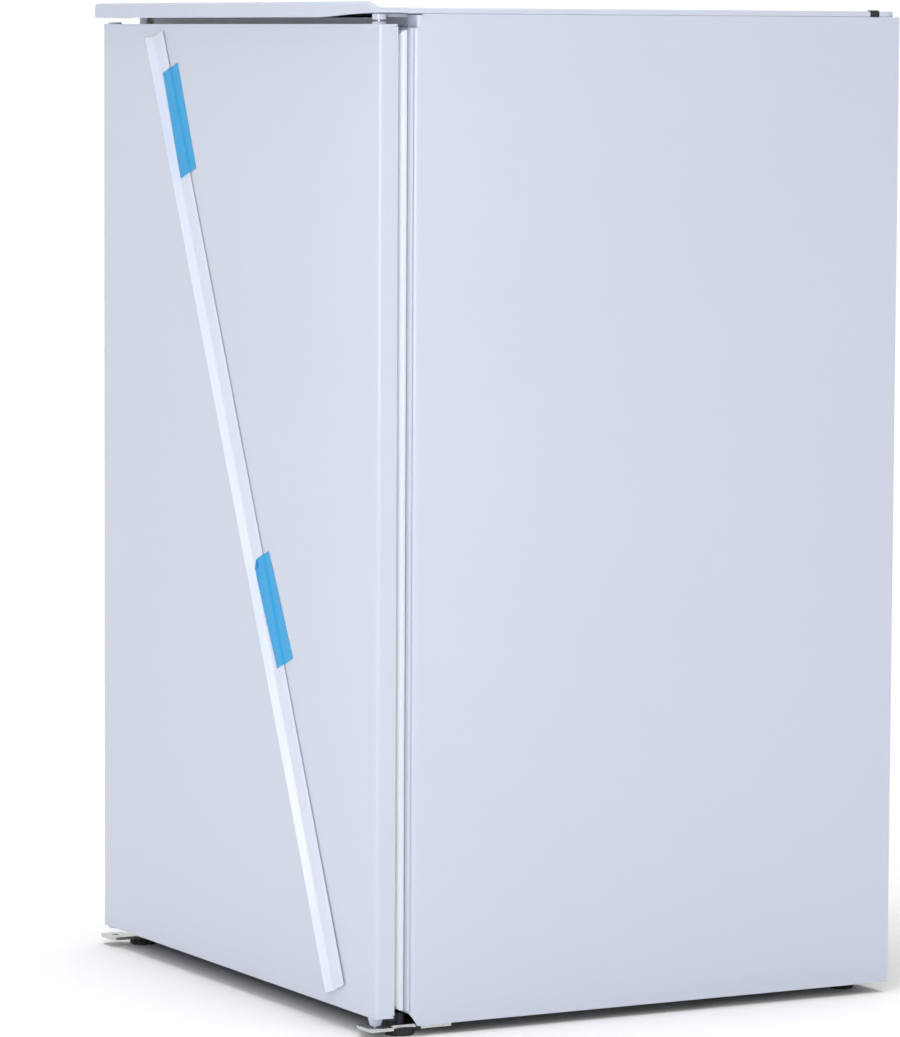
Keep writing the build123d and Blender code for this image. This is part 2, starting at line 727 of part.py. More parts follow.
def freezer_flap():
    """Top-hinged flap with moulded pivots and a grip along its lower edge."""
    half = FLAP_THICK / 2
    panel = block(
        -FLAP_X, FLAP_X, FLAP_AXIS_Y - half, FLAP_AXIS_Y + half, FLAP_LOW, FLAP_AXIS_Z + half
    )
    panel = fillet(panel.edges().filter_by(Axis.X).group_by(Axis.Z)[-1], half - 0.1)
    recess = block(
        -FLAP_X + 14, FLAP_X - 14, FLAP_AXIS_Y - half + 2, FLAP_AXIS_Y + half + 1, FLAP_LOW + 14, 750
    )
    grip = block(-60, 60, FLAP_AXIS_Y - half - 9, FLAP_AXIS_Y - half, FLAP_LOW + 4, FLAP_LOW + 7)
    pins = [
        rod_x(min(x0, x1), max(x0, x1), FLAP_AXIS_Y, FLAP_AXIS_Z, FLAP_PIN_R)
        for x0, x1 in ((FLAP_X - 2, EAR_OUT - 0.5), (-FLAP_X + 2, -EAR_OUT + 0.5))
    ]
    return panel - recess + grip + pins


def drip_tray():
    """Tray under the freezer compartment, hung by its flanges on the side rails."""
    tray = open_tray(-201, 201, -60, 148, 628, 646, 2.0)
    flange = block(201 - 0.5, 203.6, -60, 148, 643.4, 646)
    return tray + flange + mirror(flange, Plane.YZ)


def control_housing():
    """Housing of the thermostat and lamp on the right-hand wall."""
    shell = block(172, ROOM_X, -130, 10, 548, 618)
    shell = fillet(shell.edges().filter_by(Axis.Y).group_by(Axis.X)[0], 10)
    inside = block(174, ROOM_X + 1, -128, 8, 550, 616)
    window = block(170, 175, -38, 2, 556, 610)
    return shell - inside - window - rod_x(170, 176, KNOB_Y, KNOB_Z, 5.2)


def lamp_cover():
    """Clear lens over the lamp, clipped in the housing's window."""
    return block(172, 174, -38, 2, 556, 610)


def thermostat_body():
    """Thermostat inside the housing, with a running bore for the knob's shaft."""
    body = block(186, 214, KNOB_Y - 22, KNOB_Y + 22, KNOB_Z - 16, KNOB_Z + 16)
    neck = rod_x(175, 186, KNOB_Y, KNOB_Z, 5.0)
    return body + neck - rod_x(160, 206, KNOB_Y, KNOB_Z, 3.0 + RUN_CLEAR)


def thermostat_knob():
    """Round dial with a grip bar across it and its shaft."""
    dial = rod_x(162, 171.6, KNOB_Y, KNOB_Z, KNOB_R)
    dial = chamfer(dial.faces().sort_by(Axis.X)[0].edges(), 1.2)
    bar = block(156, 162, KNOB_Y - 3.5, KNOB_Y + 3.5, KNOB_Z - 15, KNOB_Z + 15)
    mark = block(155.4, 156.5, KNOB_Y - 1, KNOB_Y + 1, KNOB_Z + 4, KNOB_Z + 14)
    return dial + bar - mark + rod_x(171, 205, KNOB_Y, KNOB_Z, 3.0)


def lamp_bulb():
    """Small screw-in bulb with its holder behind the lens."""
    glass = Pos(198, -18, 584) * Sphere(11)
    holder = disc(198, -18, 592, 612, 8)
    return glass + holder


def light_switch_housing():
    """Switch box under the ceiling of the cold room, bored for its plunger."""
    box = block(SWITCH_X - 14, SWITCH_X + 14, -187, -168, SWITCH_Z - 8, ROOM_HIGH)
    return box - rod_y(SWITCH_X, -188, -172, SWITCH_Z, PLUNGER_R + RUN_CLEAR)


def light_switch_plunger():
    """Plunger that the inner door holds in."""
    tip = DIKE_BACK + 0.4
    body = rod_y(SWITCH_X, tip, -173, SWITCH_Z, PLUNGER_R)
    return fillet(body.faces().sort_by(Axis.Y)[0].edges(), 1.5)


# ---------------------------------------------------------------- cooling system


def compressor_shell():
    """Welded black pot with its two welded foot rails."""
    plan = Pos(COMP_X, COMP_Y, COMP_LOW + 3) * Ellipse(84, 57)
    pot = extrude(plan, amount=COMP_HIGH - COMP_LOW - 3, dir=(0, 0, 1))
    pot = fillet(pot.faces().sort_by(Axis.Z)[-1].edges(), 26)
    pot = fillet(pot.faces().sort_by(Axis.Z)[0].edges(), 8)
    rails = [
        block(COMP_X + dx - 12, COMP_X + dx + 12, COMP_Y - 66, COMP_Y + 66, COMP_LOW, COMP_LOW + 3.2)
        for dx in (-50, 50)
    ]
    return pot + rails - compressor_bolts()


def bolt_places():
    """Plan places of the four compressor bolts."""
    return [(COMP_X + dx, COMP_Y + dy) for dx in (-50, 50) for dy in (-60, 60)]


def compressor_bolts():
    """Shouldered bolts through the rubber feet."""
    bolts = []
    for x, y in bolt_places():
        shank = disc(x, y, CAB_BOTTOM - 2, COMP_LOW + 6, 3)
        bolts.append(shank + disc(x, y, COMP_LOW + 3.2, COMP_LOW + 8, 5.5))
    return group(bolts)


def compressor_grommets():
    """Rubber feet between the compressor and its plate."""
    return group(
        disc(x, y, CAB_BOTTOM + 1.5, COMP_LOW, 9) - disc(x, y, 0, 40, 3) for x, y in bolt_places()
    )


def relay_cover():
    """Black box over the starting relay on the compressor's left."""
    box = block(COMP_X - 112, COMP_X - 60, COMP_Y - 22, COMP_Y + 22, 70, 128)
    return box - compressor_shell()


def suction_tube():
    """Copper return tube from the cold room to the compressor."""
    points = [
        (COMP_X + 82, COMP_Y, 100),
        (COMP_X + 112, COMP_Y, 100),
        (COMP_X + 112, COMP_Y, BAY_TOP - 1),
    ]
    return bent_tube(points, 10, 3.2) - compressor_shell()


def discharge_tube():
    """Copper tube from the compressor up to the top row of the condenser."""
    points = [
        (COMP_X + 50, COMP_Y + 30, 60),
        (COMP_X + 50, COIL_Y, 60),
        (RISER_X, COIL_Y, 60),
        (RISER_X, COIL_Y, COIL_TOP),
        (COIL_STRAIGHT, COIL_Y, COIL_TOP),
    ]
    return bent_tube(points, 14, TUBE_R) - compressor_shell()


def filter_drier():
    """Copper drier between the condenser and the capillary."""
    x, y = -COIL_HALF, COIL_Y - 4
    body = disc(x, y, 112, 172, 8)
    body = chamfer(body.edges().filter_by(GeomType.CIRCLE), 3)
    points = [
        (-COIL_STRAIGHT, COIL_Y, COIL_LOW),
        (-COIL_HALF, COIL_Y, COIL_LOW),
        (-COIL_HALF, COIL_Y, 165),
    ]
    return body + bent_tube(points, 10, TUBE_R) + disc(x, y, 98, 115, 1.2)


def condenser_coil():
    """Serpentine tube on the back of the cabinet."""
    bend = COIL_PITCH / 2
    lines = []
    for row in range(COIL_ROWS):
        z = COIL_LOW + row * COIL_PITCH
        side = 1 if row % 2 == 0 else -1
        start = (-side * COIL_STRAIGHT, COIL_Y, z)
        end = (side * COIL_STRAIGHT, COIL_Y, z)
        lines.append(Line(start, end))
        if row < COIL_ROWS - 1:
            middle = (side * COIL_HALF, COIL_Y, z + bend)
            lines.append(ThreePointArc(end, middle, (end[0], COIL_Y, z + COIL_PITCH)))
    path = Wire(lines)
    start_plane = Plane(origin=path @ 0, z_dir=path % 0)
    return sweep(start_plane * Circle(TUBE_R), path=path)


def condenser_wires():
    """Steel wires welded upright across both faces of the coil."""
    low = COIL_LOW - 12
    high = COIL_TOP + 12
    wires = []
    for step in range(-WIRE_PAIRS, WIRE_PAIRS + 1):
        for offset in (-WIRE_OFFSET, WIRE_OFFSET):
            wires.append(disc(step * WIRE_PITCH, COIL_Y + offset, low, high, WIRE_R))
    return group(wires)


def condenser_clips():
    """Plastic spacers between the rear sheet and the coil."""
    clips = []
    for z in (COIL_LOW, COIL_LOW + 11 * COIL_PITCH):
        for x in (-CLIP_X, CLIP_X):
            body = block(x - 2.5, x + 2.5, CAB_BACK, COIL_Y + 3.6, z - 9, z + 9)
            clips.append(body - rod_x(x - 4, x + 4, COIL_Y, z, TUBE_R))
    return group(clips)


def evaporation_tray():
    """Tray on the compressor that catches the defrost water."""
    return open_tray(COMP_X - 55, COMP_X + 55, COMP_Y - 46, COMP_Y + 56, COMP_HIGH, 178, 1.6)


def drain_tube():
    """Elbow that carries defrost water from the cold room to the tray."""
    x, y = COMP_X, 190.0
    upright = disc(x, y + 9, 171, 262, 6)
    across = rod_y(x, ROOM_BACK, y + 9, 256, 6)
    bore = disc(x, y + 9, 170, 256, 4) + rod_y(x, ROOM_BACK - 1, y + 9, 256, 4)
    return upright + across - bore


def drain_tube_bore():
    """Space of the drain elbow through the foam and the sheets."""
    x, y = COMP_X, 190.0
    return disc(x, y + 9, 171, 262, 6) + rod_y(x, ROOM_BACK - 2, y + 9, 256, 6)


# ---------------------------------------------------------------- all nodes

NODES = {
    "side_panel_right": side_panel_right(),
    "side_panel_left": mirror(side_panel_right(), Plane.YZ),
    "top_panel": top_panel(),
    "rear_panel": rear_panel(),
    "bottom_panel": bottom_panel(),
    "base_plate": base_plate(),
    "cabinet_foam": cabinet_foam(),
    "cabinet_liner": cabinet_liner(),
    "front_posts": front_posts(),
    "front_rail_top": front_rail_top(),
    "front_rail_bottom": front_rail_bottom(),
    "corner_blocks": corner_blocks(),
    "crossmember_front": crossmember_front(),
    "worktop": worktop(),
    "worktop_front_rail": worktop_front_rail(),
    "worktop_rear_clips": worktop_rear_clips(),
    "hinge_bracket_top": hinge_bracket_top(),
    "bottom_brackets": bottom_brackets(),
    "hinge_pins": hinge_pins(),
    "hinge_bushes": hinge_bushes(),
    "hinge_screws": hinge_screws(),
    "foot_left": foot(-1),
    "foot_right": foot(1),
    "rear_feet": rear_feet(),
    "door_skin": door_skin(),
    "door_caps": door_caps(),
    "door_hole_plugs": door_hole_plugs(),
    "door_foam": door_foam(),
    "door_liner": door_liner(),
    "door_gasket": door_gasket(),
    "racks_small": racks_small(),
    "rack_bottle": rack_bottle(),
    "loose_trim_strip": loose_trim_strip(),
    "door_tapes": door_tapes(),
    "shelf_glasses": shelf_glasses(),
    "shelf_trims": shelf_trims(),
    "crisper_drawer": crisper_drawer(),
    "icebox": icebox(),
    "icebox_frame": icebox_frame(),
    "freezer_flap": freezer_flap(),
    "drip_tray": drip_tray(),
    "control_housing": control_housing(),
    "lamp_cover": lamp_cover(),
    "thermostat_body": thermostat_body(),
    "thermostat_knob": thermostat_knob(),
    "lamp_bulb": lamp_bulb(),
    "light_switch_housing": light_switch_housing(),
    "light_switch_plunger": light_switch_plunger(),
    "compressor_shell": compressor_shell(),
    "compressor_bolts": compressor_bolts(),
    "compressor_grommets": compressor_grommets(),
    "relay_cover": relay_cover(),
    "suction_tube": suction_tube(),
    "discharge_tube": discharge_tube(),
    "filter_drier": filter_drier(),
    "condenser_coil": condenser_coil(),
    "condenser_wires": condenser_wires(),
    "condenser_clips": condenser_clips(),
    "evaporation_tray": evaporation_tray(),
    "drain_tube": drain_tube(),
}

for name, shape in NODES.items():
    export_step(shape, f"parts/{name}.step")
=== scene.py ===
"""Looks of a free-standing mini fridge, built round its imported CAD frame."""

import enum
import json
import logging
import math
from dataclasses import dataclass, field
from typing import Sequence

import bmesh
import bpy
from mathutils import Matrix, Vector, noise


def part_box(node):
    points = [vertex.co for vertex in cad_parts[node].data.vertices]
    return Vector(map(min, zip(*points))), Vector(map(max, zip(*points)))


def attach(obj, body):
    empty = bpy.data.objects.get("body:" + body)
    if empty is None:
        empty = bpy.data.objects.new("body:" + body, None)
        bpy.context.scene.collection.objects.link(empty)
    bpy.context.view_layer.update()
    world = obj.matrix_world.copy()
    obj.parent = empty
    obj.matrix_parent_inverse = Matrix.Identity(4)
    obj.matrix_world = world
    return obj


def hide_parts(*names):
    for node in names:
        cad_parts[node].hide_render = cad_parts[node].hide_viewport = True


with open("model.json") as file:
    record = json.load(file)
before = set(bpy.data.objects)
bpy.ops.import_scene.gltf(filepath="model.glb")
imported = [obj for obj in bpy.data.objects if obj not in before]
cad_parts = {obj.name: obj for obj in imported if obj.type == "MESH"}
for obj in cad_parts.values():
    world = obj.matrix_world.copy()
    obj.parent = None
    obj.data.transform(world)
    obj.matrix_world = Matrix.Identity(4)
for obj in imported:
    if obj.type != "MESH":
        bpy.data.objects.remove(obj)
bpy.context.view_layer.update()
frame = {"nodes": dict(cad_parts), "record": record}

MM = 0.001
LOG = logging.getLogger("mini_fridge")
Point = tuple[float, float, float]


def linear(code: str, alpha: float = 1.0) -> tuple[float, float, float, float]:
    """Turn an sRGB hex colour into linear light.

    Args:
        code: Six hex digits, such as "D4DAEA".
        alpha: Opacity.

    Returns:
        Red, green, blue and alpha.
    """
    parts = [int(code[at : at + 2], 16) / 255 for at in (0, 2, 4)]
    red, green, blue = [
        part / 12.92 if part <= 0.04045 else ((part + 0.055) / 1.055) ** 2.4 for part in parts
    ]
    return red, green, blue, alpha


def per_metre(size_mm: float) -> float:
    """Texture scale at which one feature is size_mm across."""
    return 1 / (size_mm * MM)


def add(
    tree: bpy.types.NodeTree,
    kind: str,
    settings: dict[str, object] | None = None,
    inputs: dict[str | int, object] | None = None,
) -> bpy.types.Node:
    """Add a node with its settings and links.

    Args:
        tree: The material's node tree.
        kind: Blender's type name of the node.
        settings: Properties to set on the node.
        inputs: Socket name or number, to a value or to the output socket that feeds it.

    Returns:
        The new node.
    """
    node = tree.nodes.new(kind)
    for name, value in (settings or {}).items():
        setattr(node, name, value)
    for key, value in (inputs or {}).items():
        if isinstance(value, bpy.types.NodeSocket):
            tree.links.new(value, node.inputs[key])
        else:
            node.inputs[key].default_value = value
    return node


# ------------------------------------------------------------------------- finishes


class Grain(enum.Enum):
    """The pattern that a surface's making leaves in it."""

    PEEL = "soft cells of sprayed and baked enamel"
    SPARK = "fine spark-eroded grain of a mould"
    SPANGLE = "flat crystals of hot-dip zinc"
    DRAWN_X = "draw lines along X"
    DRAWN_Z = "draw lines along Z"
    BUBBLES = "cut cells of foam"


COAT_ROUGHNESS = 0.12
GRAIN_MIDDLE = (0.3, 0.7)
PATCH_DETAIL = 3.0
SMOOTH_DETAIL, FINE_DETAIL = 1.0, 4.0
GRAIN_STRETCH = {Grain.DRAWN_X: (0.02, 1.0, 1.0), Grain.DRAWN_Z: (1.0, 1.0, 0.02)}


@dataclass(frozen=True)
class Finish:
    """One real material with its surface.

    Attributes:
        name: Plain name of the material and how its surface was made.
        colour: Main colour, sRGB hex.
        drift: Colour that the main one drifts towards in broad patches, sRGB hex.
        patch_mm: Size of those patches.
        grain: Pattern left by the making.
        grain_mm: Size of one feature of it.
        relief_mm: Height of the grain.
        roughness: Lowest and highest roughness.
        metallic: 1 on bare metal.
        ior: Refractive index, left at the default on metals.
        specular: Level of the surface reflection, 0.5 is the physical one.
        coat: Weight of a clear top layer.
        transmission: 1 where light passes through.
        alpha: Opacity.
        subsurface: Share of light that scatters under the surface.
        scatter_mm: How far that light travels.
        sheen: Weight of a soft grazing sheen.
    """

    name: str
    colour: str
    drift: str
    patch_mm: float
    grain: Grain
    grain_mm: float
    relief_mm: float
    roughness: tuple[float, float]
    metallic: float = 0.0
    ior: float = 1.5
    specular: float = 0.5
    coat: float = 0.0
    transmission: float = 0.0
    alpha: float = 1.0
    subsurface: float = 0.0
    scatter_mm: float = 1.0
    sheen: float = 0.0

    def build(self) -> bpy.types.Material:
        """Make the Blender material.

        Returns:
            The material, with its whole node tree.
        """
        material = bpy.data.materials.new(self.name)
        material.use_nodes = True
        tree = material.node_tree
        tree.nodes.clear()
        place = add(tree, "ShaderNodeTexCoord").outputs["Object"]
        patches = add(
            tree, "ShaderNodeTexNoise", None,
            {"Vector": place, "Scale": per_metre(self.patch_mm), "Detail": PATCH_DETAIL},
        )
        colour = add(
            tree, "ShaderNodeMix", {"data_type": "RGBA"},
            {"Factor": patches.outputs["Fac"], 6: linear(self.colour), 7: linear(self.drift)},
        )
        height = self.grain_height(tree, place)
        low, high = self.roughness
        rough = add(
            tree, "ShaderNodeMapRange", None,
            {
                "Value": height,
                "From Min": GRAIN_MIDDLE[0],
                "From Max": GRAIN_MIDDLE[1],
                "To Min": low,
                "To Max": high,
            },
        )
        bump = add(
            tree, "ShaderNodeBump", None,
            {"Height": height, "Strength": 1.0, "Distance": self.relief_mm * MM},
        )
        shader = add(
            tree, "ShaderNodeBsdfPrincipled", None,
            {
                "Base Color": colour.outputs[2],
                "Roughness": rough.outputs["Result"],
                "Normal": bump.outputs["Normal"],
                "Metallic": self.metallic,
                "Specular IOR Level": self.specular,
                "Coat Weight": self.coat,
                "Coat Roughness": COAT_ROUGHNESS,
                "Transmission Weight": self.transmission,
                "Alpha": self.alpha,
                "Subsurface Weight": self.subsurface,
                "Subsurface Scale": self.scatter_mm * MM,
                "Sheen Weight": self.sheen,
            },
        )
        if not self.metallic:
            shader.inputs["IOR"].default_value = self.ior
        add(tree, "ShaderNodeOutputMaterial", None, {"Surface": shader.outputs["BSDF"]})
        material.diffuse_color = linear(self.colour, self.alpha)
        return material

    def grain_height(
        self, tree: bpy.types.NodeTree, place: bpy.types.NodeSocket
    ) -> bpy.types.NodeSocket:
        """Add the nodes of the grain.

        Args:
            tree: The material's node tree.
            place: Output that gives a point's place in metres.

        Returns:
            Output with the grain's height, from 0 to 1.
        """
        scale = per_metre(self.grain_mm)
        if self.grain in (Grain.SPANGLE, Grain.BUBBLES):
            cells = add(
                tree, "ShaderNodeTexVoronoi", {"feature": "F1"}, {"Vector": place, "Scale": scale}
            )
            name = "Color" if self.grain is Grain.SPANGLE else "Distance"
            return cells.outputs[name]
        if self.grain in GRAIN_STRETCH:
            mapping = add(
                tree, "ShaderNodeMapping", None,
                {"Vector": place, "Scale": GRAIN_STRETCH[self.grain]},
            )
            place = mapping.outputs["Vector"]
        detail = SMOOTH_DETAIL if self.grain is Grain.PEEL else FINE_DETAIL
        lumps = add(
            tree, "ShaderNodeTexNoise", None, {"Vector": place, "Scale": scale, "Detail": detail}
        )
        return lumps.outputs["Fac"]


# Baked polyester enamel on cold-rolled steel: cool white, satin, with a barely visible orange peel.
# The real peel is about 1 mm, drawn at 3 mm so that it shows.
BAKED_ENAMEL = Finish(
    "baked_white_enamel_on_steel", "CFD5E4", "CAD1E0", 260, Grain.PEEL, 3.0, 0.002,
    (0.28, 0.33), ior=1.52, coat=0.5,
)
# Injection-moulded ABS: a slightly warmer white, with the mould's fine spark grain.
MOULDED_ABS = Finish(
    "moulded_white_abs", "D0D5E3", "CBD1E0", 120, Grain.SPARK, 0.9, 0.012,
    (0.34, 0.48), ior=1.53, subsurface=0.04, scatter_mm=0.6,
)
# Vacuum-formed polystyrene sheet: glossy, thin, gently wavy from the former.
FORMED_POLYSTYRENE = Finish(
    "vacuum_formed_white_polystyrene", "E9ECEF", "E3E7EB", 90, Grain.PEEL, 28.0, 0.05,
    (0.16, 0.26), ior=1.59, subsurface=0.05, scatter_mm=0.8,
)
# Hot-dip galvanised sheet: dull grey metal with flat zinc crystals about 8 mm across.
GALVANISED_SHEET = Finish(
    "galvanised_sheet_steel", "A8ACB0", "9CA1A6", 60, Grain.SPANGLE, 8.0, 0.002,
    (0.34, 0.52), metallic=1.0,
)
# Bright zinc plating with a blue passivation: cool metal with faint yellow clouds.
ZINC_PLATING = Finish(
    "bright_zinc_plating", "CFD4D8", "C9C8C2", 22, Grain.SPARK, 1.2, 0.003,
    (0.20, 0.36), metallic=1.0,
)
# Turned and ground pin steel: fine lines round the pin, greased.
GROUND_STEEL = Finish(
    "ground_pin_steel", "B4B6B8", "9C9EA2", 8, Grain.DRAWN_X, 0.25, 0.002,
    (0.18, 0.30), metallic=1.0,
)
# Rigid polyurethane foam, cut: cream, matt, open cells under 1 mm.
POLYURETHANE_FOAM = Finish(
    "cut_polyurethane_foam", "E8DFC0", "DCCFA6", 30, Grain.BUBBLES, 1.2, 0.35,
    (0.85, 0.98), ior=1.4,
)
# Extruded soft vinyl: matt white with a soft grazing sheen.
SOFT_VINYL = Finish(
    "extruded_soft_vinyl", "E6EBF1", "DFE5EC", 80, Grain.DRAWN_Z, 1.5, 0.01,
    (0.46, 0.60), ior=1.53, subsurface=0.08, scatter_mm=1.2, sheen=0.12,
)
# Extruded rigid PVC strip: bright cool white with lengthwise draw lines.
EXTRUDED_PVC = Finish(
    "extruded_rigid_pvc", "E2E6F4", "DDE3F2", 70, Grain.DRAWN_Z, 1.1, 0.006,
    (0.26, 0.36), ior=1.54, subsurface=0.06, scatter_mm=0.8,
)
# Polyethylene film tape: light blue, thin, satin, a little uneven where the glue shows through.
BLUE_FILM = Finish(
    "blue_polyethylene_film_tape", "1E9FDC", "2CA7E0", 9, Grain.PEEL, 1.6, 0.02,
    (0.30, 0.46), ior=1.51, subsurface=0.1, scatter_mm=0.4,
)
# Clear crystal polystyrene moulding: a trace of blue, half see-through, so thin walls stay bright.
CLEAR_POLYSTYRENE = Finish(
    "clear_crystal_polystyrene", "F2F8FB", "EAF3F8", 60, Grain.PEEL, 12.0, 0.01,
    (0.04, 0.12), ior=1.59, transmission=0.45, alpha=0.5,
)
# Toughened soda-lime glass: greenish, half see-through, so the room below a shelf stays in view.
TOUGHENED_GLASS = Finish(
    "toughened_soda_lime_glass", "DDF0EA", "D6ECE5", 120, Grain.PEEL, 60.0, 0.01,
    (0.01, 0.03), ior=1.52, transmission=0.5, alpha=0.45,
)
# Frosted lamp glass: milky and matt.
FROSTED_GLASS = Finish(
    "frosted_lamp_glass", "F4F1E6", "EDE9DA", 6, Grain.SPARK, 0.5, 0.01,
    (0.45, 0.6), ior=1.5, transmission=0.6,
)
# Rolled aluminium sheet: pale metal with rolling lines along its length.
ROLLED_ALUMINIUM = Finish(
    "rolled_aluminium_sheet", "D5D9DC", "C7CCD1", 45, Grain.DRAWN_X, 0.8, 0.004,
    (0.28, 0.42), metallic=1.0,
)
# Moulded black polypropylene: near black, waxy, fine grain.
BLACK_POLYPROPYLENE = Finish(
    "moulded_black_polypropylene", "1B1D21", "24272C", 20, Grain.SPARK, 0.9, 0.02,
    (0.42, 0.58), ior=1.49,
)
# Sprayed black enamel on steel: deep, half gloss, light orange peel.
BLACK_ENAMEL = Finish(
    "sprayed_black_enamel", "17181A", "1E1F22", 40, Grain.PEEL, 2.0, 0.02,
    (0.26, 0.40), ior=1.52, coat=0.1,
)
# Moulded EPDM rubber: black and matt.
MOULDED_RUBBER = Finish(
    "moulded_epdm_rubber", "1A1A1A", "232323", 8, Grain.SPARK, 0.7, 0.03, (0.70, 0.85), ior=1.5,
)
# Drawn copper tube: salmon metal, browner where it has aged.
DRAWN_COPPER = Finish(
    "drawn_copper_tube", "C98A66", "9A6247", 22, Grain.DRAWN_Z, 0.6, 0.004,
    (0.24, 0.44), metallic=1.0,
)

SLOT_FINISHES: dict[str, Finish] = {
    "painted_steel": BAKED_ENAMEL,
    "galvanised_steel": GALVANISED_SHEET,
    "zinc_plate": ZINC_PLATING,
    "pin_steel": GROUND_STEEL,
    "white_moulding": MOULDED_ABS,
    "liner_plastic": FORMED_POLYSTYRENE,
    "insulation_foam": POLYURETHANE_FOAM,
    "gasket_vinyl": SOFT_VINYL,
    "strip_plastic": EXTRUDED_PVC,
    "blue_tape": BLUE_FILM,
    "clear_plastic": CLEAR_POLYSTYRENE,
    "shelf_glass": TOUGHENED_GLASS,
    "bulb_glass": FROSTED_GLASS,
    "evaporator_aluminium": ROLLED_ALUMINIUM,
    "black_plastic": BLACK_POLYPROPYLENE,
    "black_enamel": BLACK_ENAMEL,
    "black_rubber": MOULDED_RUBBER,
    "copper_tube": DRAWN_COPPER,
}


class Paints:
    """The finishes as Blender materials, each made once."""

    def __init__(self) -> None:
        """Make every finish."""
        self.by_slot = {slot: finish.build() for slot, finish in SLOT_FINISHES.items()}

    def dress(self, piece: bpy.types.Object, slot: str) -> None:
        """Give a piece the material of a slot.

        Args:
            piece: The object to dress.
            slot: Name of the material slot.
        """
        piece.data.materials.clear()
        piece.data.materials.append(self.by_slot[slot])


# ------------------------------------------------------------------------- mesh helpers


def make_object(name: str, mesh: bmesh.types.BMesh, smooth: bool = True) -> bpy.types.Object:
    """Turn a bmesh into an object in the scene.

    Args:
        name: Name of the piece.
        mesh: The geometry, freed here.
        smooth: Whether faces are shaded smooth.

    Returns:
        The new object.
    """
    bmesh.ops.recalc_face_normals(mesh, faces=mesh.faces)
    data = bpy.data.meshes.new(name)
    mesh.to_mesh(data)
    mesh.free()
    for face in data.polygons:
        face.use_smooth = smooth
    piece = bpy.data.objects.new(name, data)
    bpy.context.scene.collection.objects.link(piece)
    return piece


def loft(rings: Sequence[Sequence[Point]], closed: bool, capped: bool) -> bmesh.types.BMesh:
    """Skin a row of rings that have the same number of points.

    Args:
        rings: Closed loops of points, in order.
        closed: Whether the last ring joins the first.
        capped: Whether the first and last rings are filled.

    Returns:
        The skin.
    """
    mesh = bmesh.new()
    rows = [[mesh.verts.new(point) for point in ring] for ring in rings]
    pairs = list(zip(rows, rows[1:]))
    if closed:
        pairs.append((rows[-1], rows[0]))
    for one, two in pairs:
        for at in range(len(one)):
            after = (at + 1) % len(one)
            mesh.faces.new((one[at], one[after], two[after], two[at]))
    if capped:
        mesh.faces.new(rows[0])
        mesh.faces.new(rows[-1])
    return mesh


def round_edges(piece: bpy.types.Object, name: str, width: float, sharper_than: float) -> None:
    """Round the sharp edges of a piece with a modifier.

    Args:
        piece: The object.
        name: Name of the modifier.
        width: Width of the rounding, in metres.
        sharper_than: Angle in degrees past which an edge is rounded.
    """
    bevel = piece.modifiers.new(name, "BEVEL")
    bevel.width = width
    bevel.segments = 2
    bevel.limit_method = "ANGLE"
    bevel.angle_limit = math.radians(sharper_than)


def soften(piece: bpy.types.Object, width_mm: float) -> None:
    """Round the edges of a CAD piece, whose faces don't share their corners.

    Args:
        piece: The object.
        width_mm: Width of the rounding.
    """
    weld = piece.modifiers.new("weld", "WELD")
    weld.merge_threshold = 0.01 * MM
    round_edges(piece, "rounded_edges", width_mm * MM, sharper_than=50)


# ------------------------------------------------------------------------- the door


